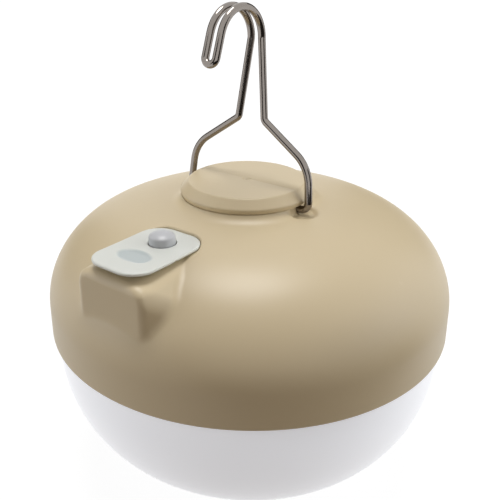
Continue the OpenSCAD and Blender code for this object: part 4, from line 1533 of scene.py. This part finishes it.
@dataclass
class Studio:
    """The camera, the lamp, the world, the floor and the cards."""

    camera_at: tuple = (126.75, -171.66, 171.5)
    azimuth: float = math.radians(40.0)
    dip: float = math.radians(20.0)
    roll: float = math.radians(1.11)
    lens: float = 49.88
    shift: Point = (0.088, -0.12)
    key_elevation: float = math.radians(82.0)
    key_azimuth: float = math.radians(130.0)
    key_strength: float = 1.84
    key_size: float = math.radians(28.0)
    key_tint: tuple = (1.0, 0.99, 0.985)
    sky: float = 0.08
    sky_tint: tuple = (1.0, 0.68, 0.47, 1.0)
    sides: tuple = ((1.0, 4.2, 4.0), (-1.0, 5.0, 8.0))
    side_tint: tuple = (0.95, 0.98, 1.0, 1.0)
    floor_half: float = 6.0
    floor_z: float = -0.0002
    floor_tint: tuple = (0.19, 0.138, 0.098, 1.0)
    floor_shade: float = 0.15
    floor_white: float = 1.06
    card_tint: tuple = (0.035, 0.03, 0.027, 1.0)
    card_angles: tuple = (("card_left", 175.0), ("card_right", 5.0), ("card_front", -95.0),
                          ("card_back", 95.0))
    card_upright: tuple = ((-0.35, 1.1, -0.05), (0.35, 1.1, -0.05), (0.35, 1.1, 0.75),
                           (-0.35, 1.1, 0.75))
    card_lying: tuple = ((-0.15, 0.11, 0.0), (0.15, 0.11, 0.0), (1.7, 0.95, 0.0), (-1.7, 0.95, 0.0))
    card_lying_angle: float = -22.0

    def build(self) -> None:
        """Makes the whole set."""
        self._camera()
        self._key()
        self._world()
        self._floor()
        self._cards()
        view = bpy.context.scene.view_settings
        view.view_transform = "Standard"

    def _camera(self) -> None:
        """Stands the camera at its place, looking along its own axes."""
        a, d = self.azimuth, self.dip
        right = Vector((math.cos(a), math.sin(a), 0))
        ahead = Vector((-math.sin(a) * math.cos(d), math.cos(a) * math.cos(d), -math.sin(d)))
        up = right.cross(ahead)
        x = right * math.cos(self.roll) - up * math.sin(self.roll)
        y = right * math.sin(self.roll) + up * math.cos(self.roll)
        data = bpy.data.cameras.new("camera")
        data.lens, data.sensor_width = self.lens, 36.0
        data.shift_x, data.shift_y = self.shift
        data.clip_start, data.clip_end = 0.01, 20.0
        camera = put_in_scene("camera", data)
        turn = Matrix((x, y, -ahead)).transposed().to_4x4()
        camera.matrix_world = Matrix.Translation(Vector(self.camera_at) * MM) @ turn
        bpy.context.scene.camera = camera

    def _key(self) -> None:
        """A broad lamp nearly overhead, far enough off to light the floor evenly."""
        data = bpy.data.lights.new("key", "SUN")
        data.energy, data.angle = self.key_strength, self.key_size
        data.color = self.key_tint
        lamp = put_in_scene("key", data)
        e, a = self.key_elevation, self.key_azimuth
        toward = Vector((math.cos(e) * math.cos(a), math.cos(e) * math.sin(a), math.sin(e)))
        lamp.rotation_mode = "QUATERNION"
        lamp.rotation_quaternion = toward.to_track_quat("Z", "Y")

    def _world(self) -> None:
        """A surround that shows white, but lights the object dimly and more from its two sides."""
        world = bpy.data.worlds.new("surround")
        bpy.context.scene.world = world
        world.use_nodes = True
        n = Nodes(world.node_tree)
        seen = self._seen(n)
        way = n.add("ShaderNodeTexCoord").outputs["Generated"]
        across = (math.cos(self.azimuth), math.sin(self.azimuth), 0.0)
        facing = n.add("ShaderNodeVectorMath", {0: way, 1: across}, operation="DOT_PRODUCT")
        lobes = []
        for sign, level, focus in self.sides:
            toward = n.math("MULTIPLY", facing.outputs["Value"], sign, clamp=True)
            lobes.append(n.math("MULTIPLY", n.math("POWER", toward, focus), level))
        both = n.math("ADD", *lobes)
        side = n.add("ShaderNodeBackground", {"Color": self.side_tint, "Strength": both})
        warm = n.add("ShaderNodeBackground", {"Color": self.sky_tint, "Strength": self.sky})
        soft = n.add("ShaderNodeAddShader", {0: warm.outputs[0], 1: side.outputs[0]})
        white = n.add("ShaderNodeBackground", {"Color": (1, 1, 1, 1), "Strength": 1.0})
        mixed = n.add("ShaderNodeMixShader", {0: seen, 1: soft.outputs[0], 2: white.outputs[0]})
        n.add("ShaderNodeOutputWorld", {"Surface": mixed.outputs[0]})

    @staticmethod
    def _seen(n: Nodes) -> bpy.types.NodeSocket:
        """One for rays from the camera and for reflected and refracted rays, else zero.

        Args:
            n: Builder of the tree that asks.

        Returns:
            The value's socket.
        """
        path = n.add("ShaderNodeLightPath")
        seen = n.math("MAXIMUM", path.outputs["Is Camera Ray"], path.outputs["Is Glossy Ray"])
        return n.math("MAXIMUM", seen, path.outputs["Is Transmission Ray"])

    def _floor(self) -> None:
        """A floor that shows white with the object's shadow, and throws little warm light back."""
        made, n = new_material("pale_floor")
        seen = self._seen(n)
        k = self.floor_shade
        dull = n.add("ShaderNodeBsdfDiffuse", {"Color": self.floor_tint})
        shade = n.add("ShaderNodeBsdfDiffuse", {"Color": (k, k, k, 1)})
        glow = n.add("ShaderNodeEmission", {"Color": (1, 1, 1, 1), "Strength": self.floor_white - k})
        pale = n.add("ShaderNodeAddShader", {0: shade.outputs[0], 1: glow.outputs[0]})
        mixed = n.add("ShaderNodeMixShader", {0: seen, 1: dull.outputs[0], 2: pale.outputs[0]})
        n.add("ShaderNodeOutputMaterial", {"Surface": mixed.outputs[0]})
        size, z = self.floor_half, self.floor_z
        corners = [(-size, -size, z), (size, -size, z), (size, size, z), (-size, size, z)]
        self._sheet("floor", corners, made)

    def _cards(self) -> None:
        """Dark cards round the object, which only its reflections see."""
        made, n = new_material("dark_card")
        black = n.add("ShaderNodeEmission", {"Color": self.card_tint, "Strength": 1.0})
        n.add("ShaderNodeOutputMaterial", {"Surface": black.outputs[0]})
        cards = [(name, angle, self.card_upright) for name, angle in self.card_angles]
        cards.append(("card_floor", self.card_lying_angle, self.card_lying))
        for name, angle, corners in cards:
            card = self._sheet(name, corners, made)
            card.rotation_euler = (0, 0, math.radians(angle - 90.0))
            card.visible_camera = card.visible_diffuse = card.visible_shadow = False
            card.visible_transmission = False

    @staticmethod
    def _sheet(name: str, corners: Sequence[tuple], made: bpy.types.Material) -> bpy.types.Object:
        """One flat face in the scene.

        Args:
            name: Name of the object.
            corners: Its four corners, in metres.
            made: Its material.

        Returns:
            The object.
        """
        mesh = bpy.data.meshes.new(name)
        mesh.from_pydata(corners, [], [(0, 1, 2, 3)])
        mesh.materials.append(made)
        return put_in_scene(name, mesh)


def dress(piece: bpy.types.Object, made: bpy.types.Material) -> None:
    """Gives a piece one material."""
    piece.data.materials.clear()
    piece.data.materials.append(made)


def dress_nodes(effects: EffectGroups) -> None:
    """Gives every carried-over part of the frame its finish.

    Args:
        effects: The shared node groups.
    """
    for names, finish in NODE_FINISHES.items():
        made = finish.material(effects)
        for name in names:
            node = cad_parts[name]
            if node.data.materials:
                for index in range(len(node.data.materials)):
                    node.data.materials[index] = made
            else:
                node.data.materials.append(made)
            LOG.info("%s: %s", name, finish.name)


def main() -> None:
    """Builds the pieces in order."""
    logging.basicConfig(level=logging.INFO, format="%(message)s")
    effects = EffectGroups()
    shell_material = SHELL_FINISH.material(effects)
    cover_material = COVER_FINISH.material(effects)
    for piece, made in (
        (Shell().build(), shell_material),
        (TopDisc().build(), shell_material),
        (HookWire().build(), WIRE_FINISH.material(effects)),
        (SoftCover().build(), cover_material),
        (PushButton().build(), BUTTON_FINISH.material(effects)),
        (Bowl().build(), BOWL_FINISH.material(effects)),
    ):
        dress(piece, made)
    dress_nodes(effects)
    Studio().build()


if __name__ == "__main__":
    main()
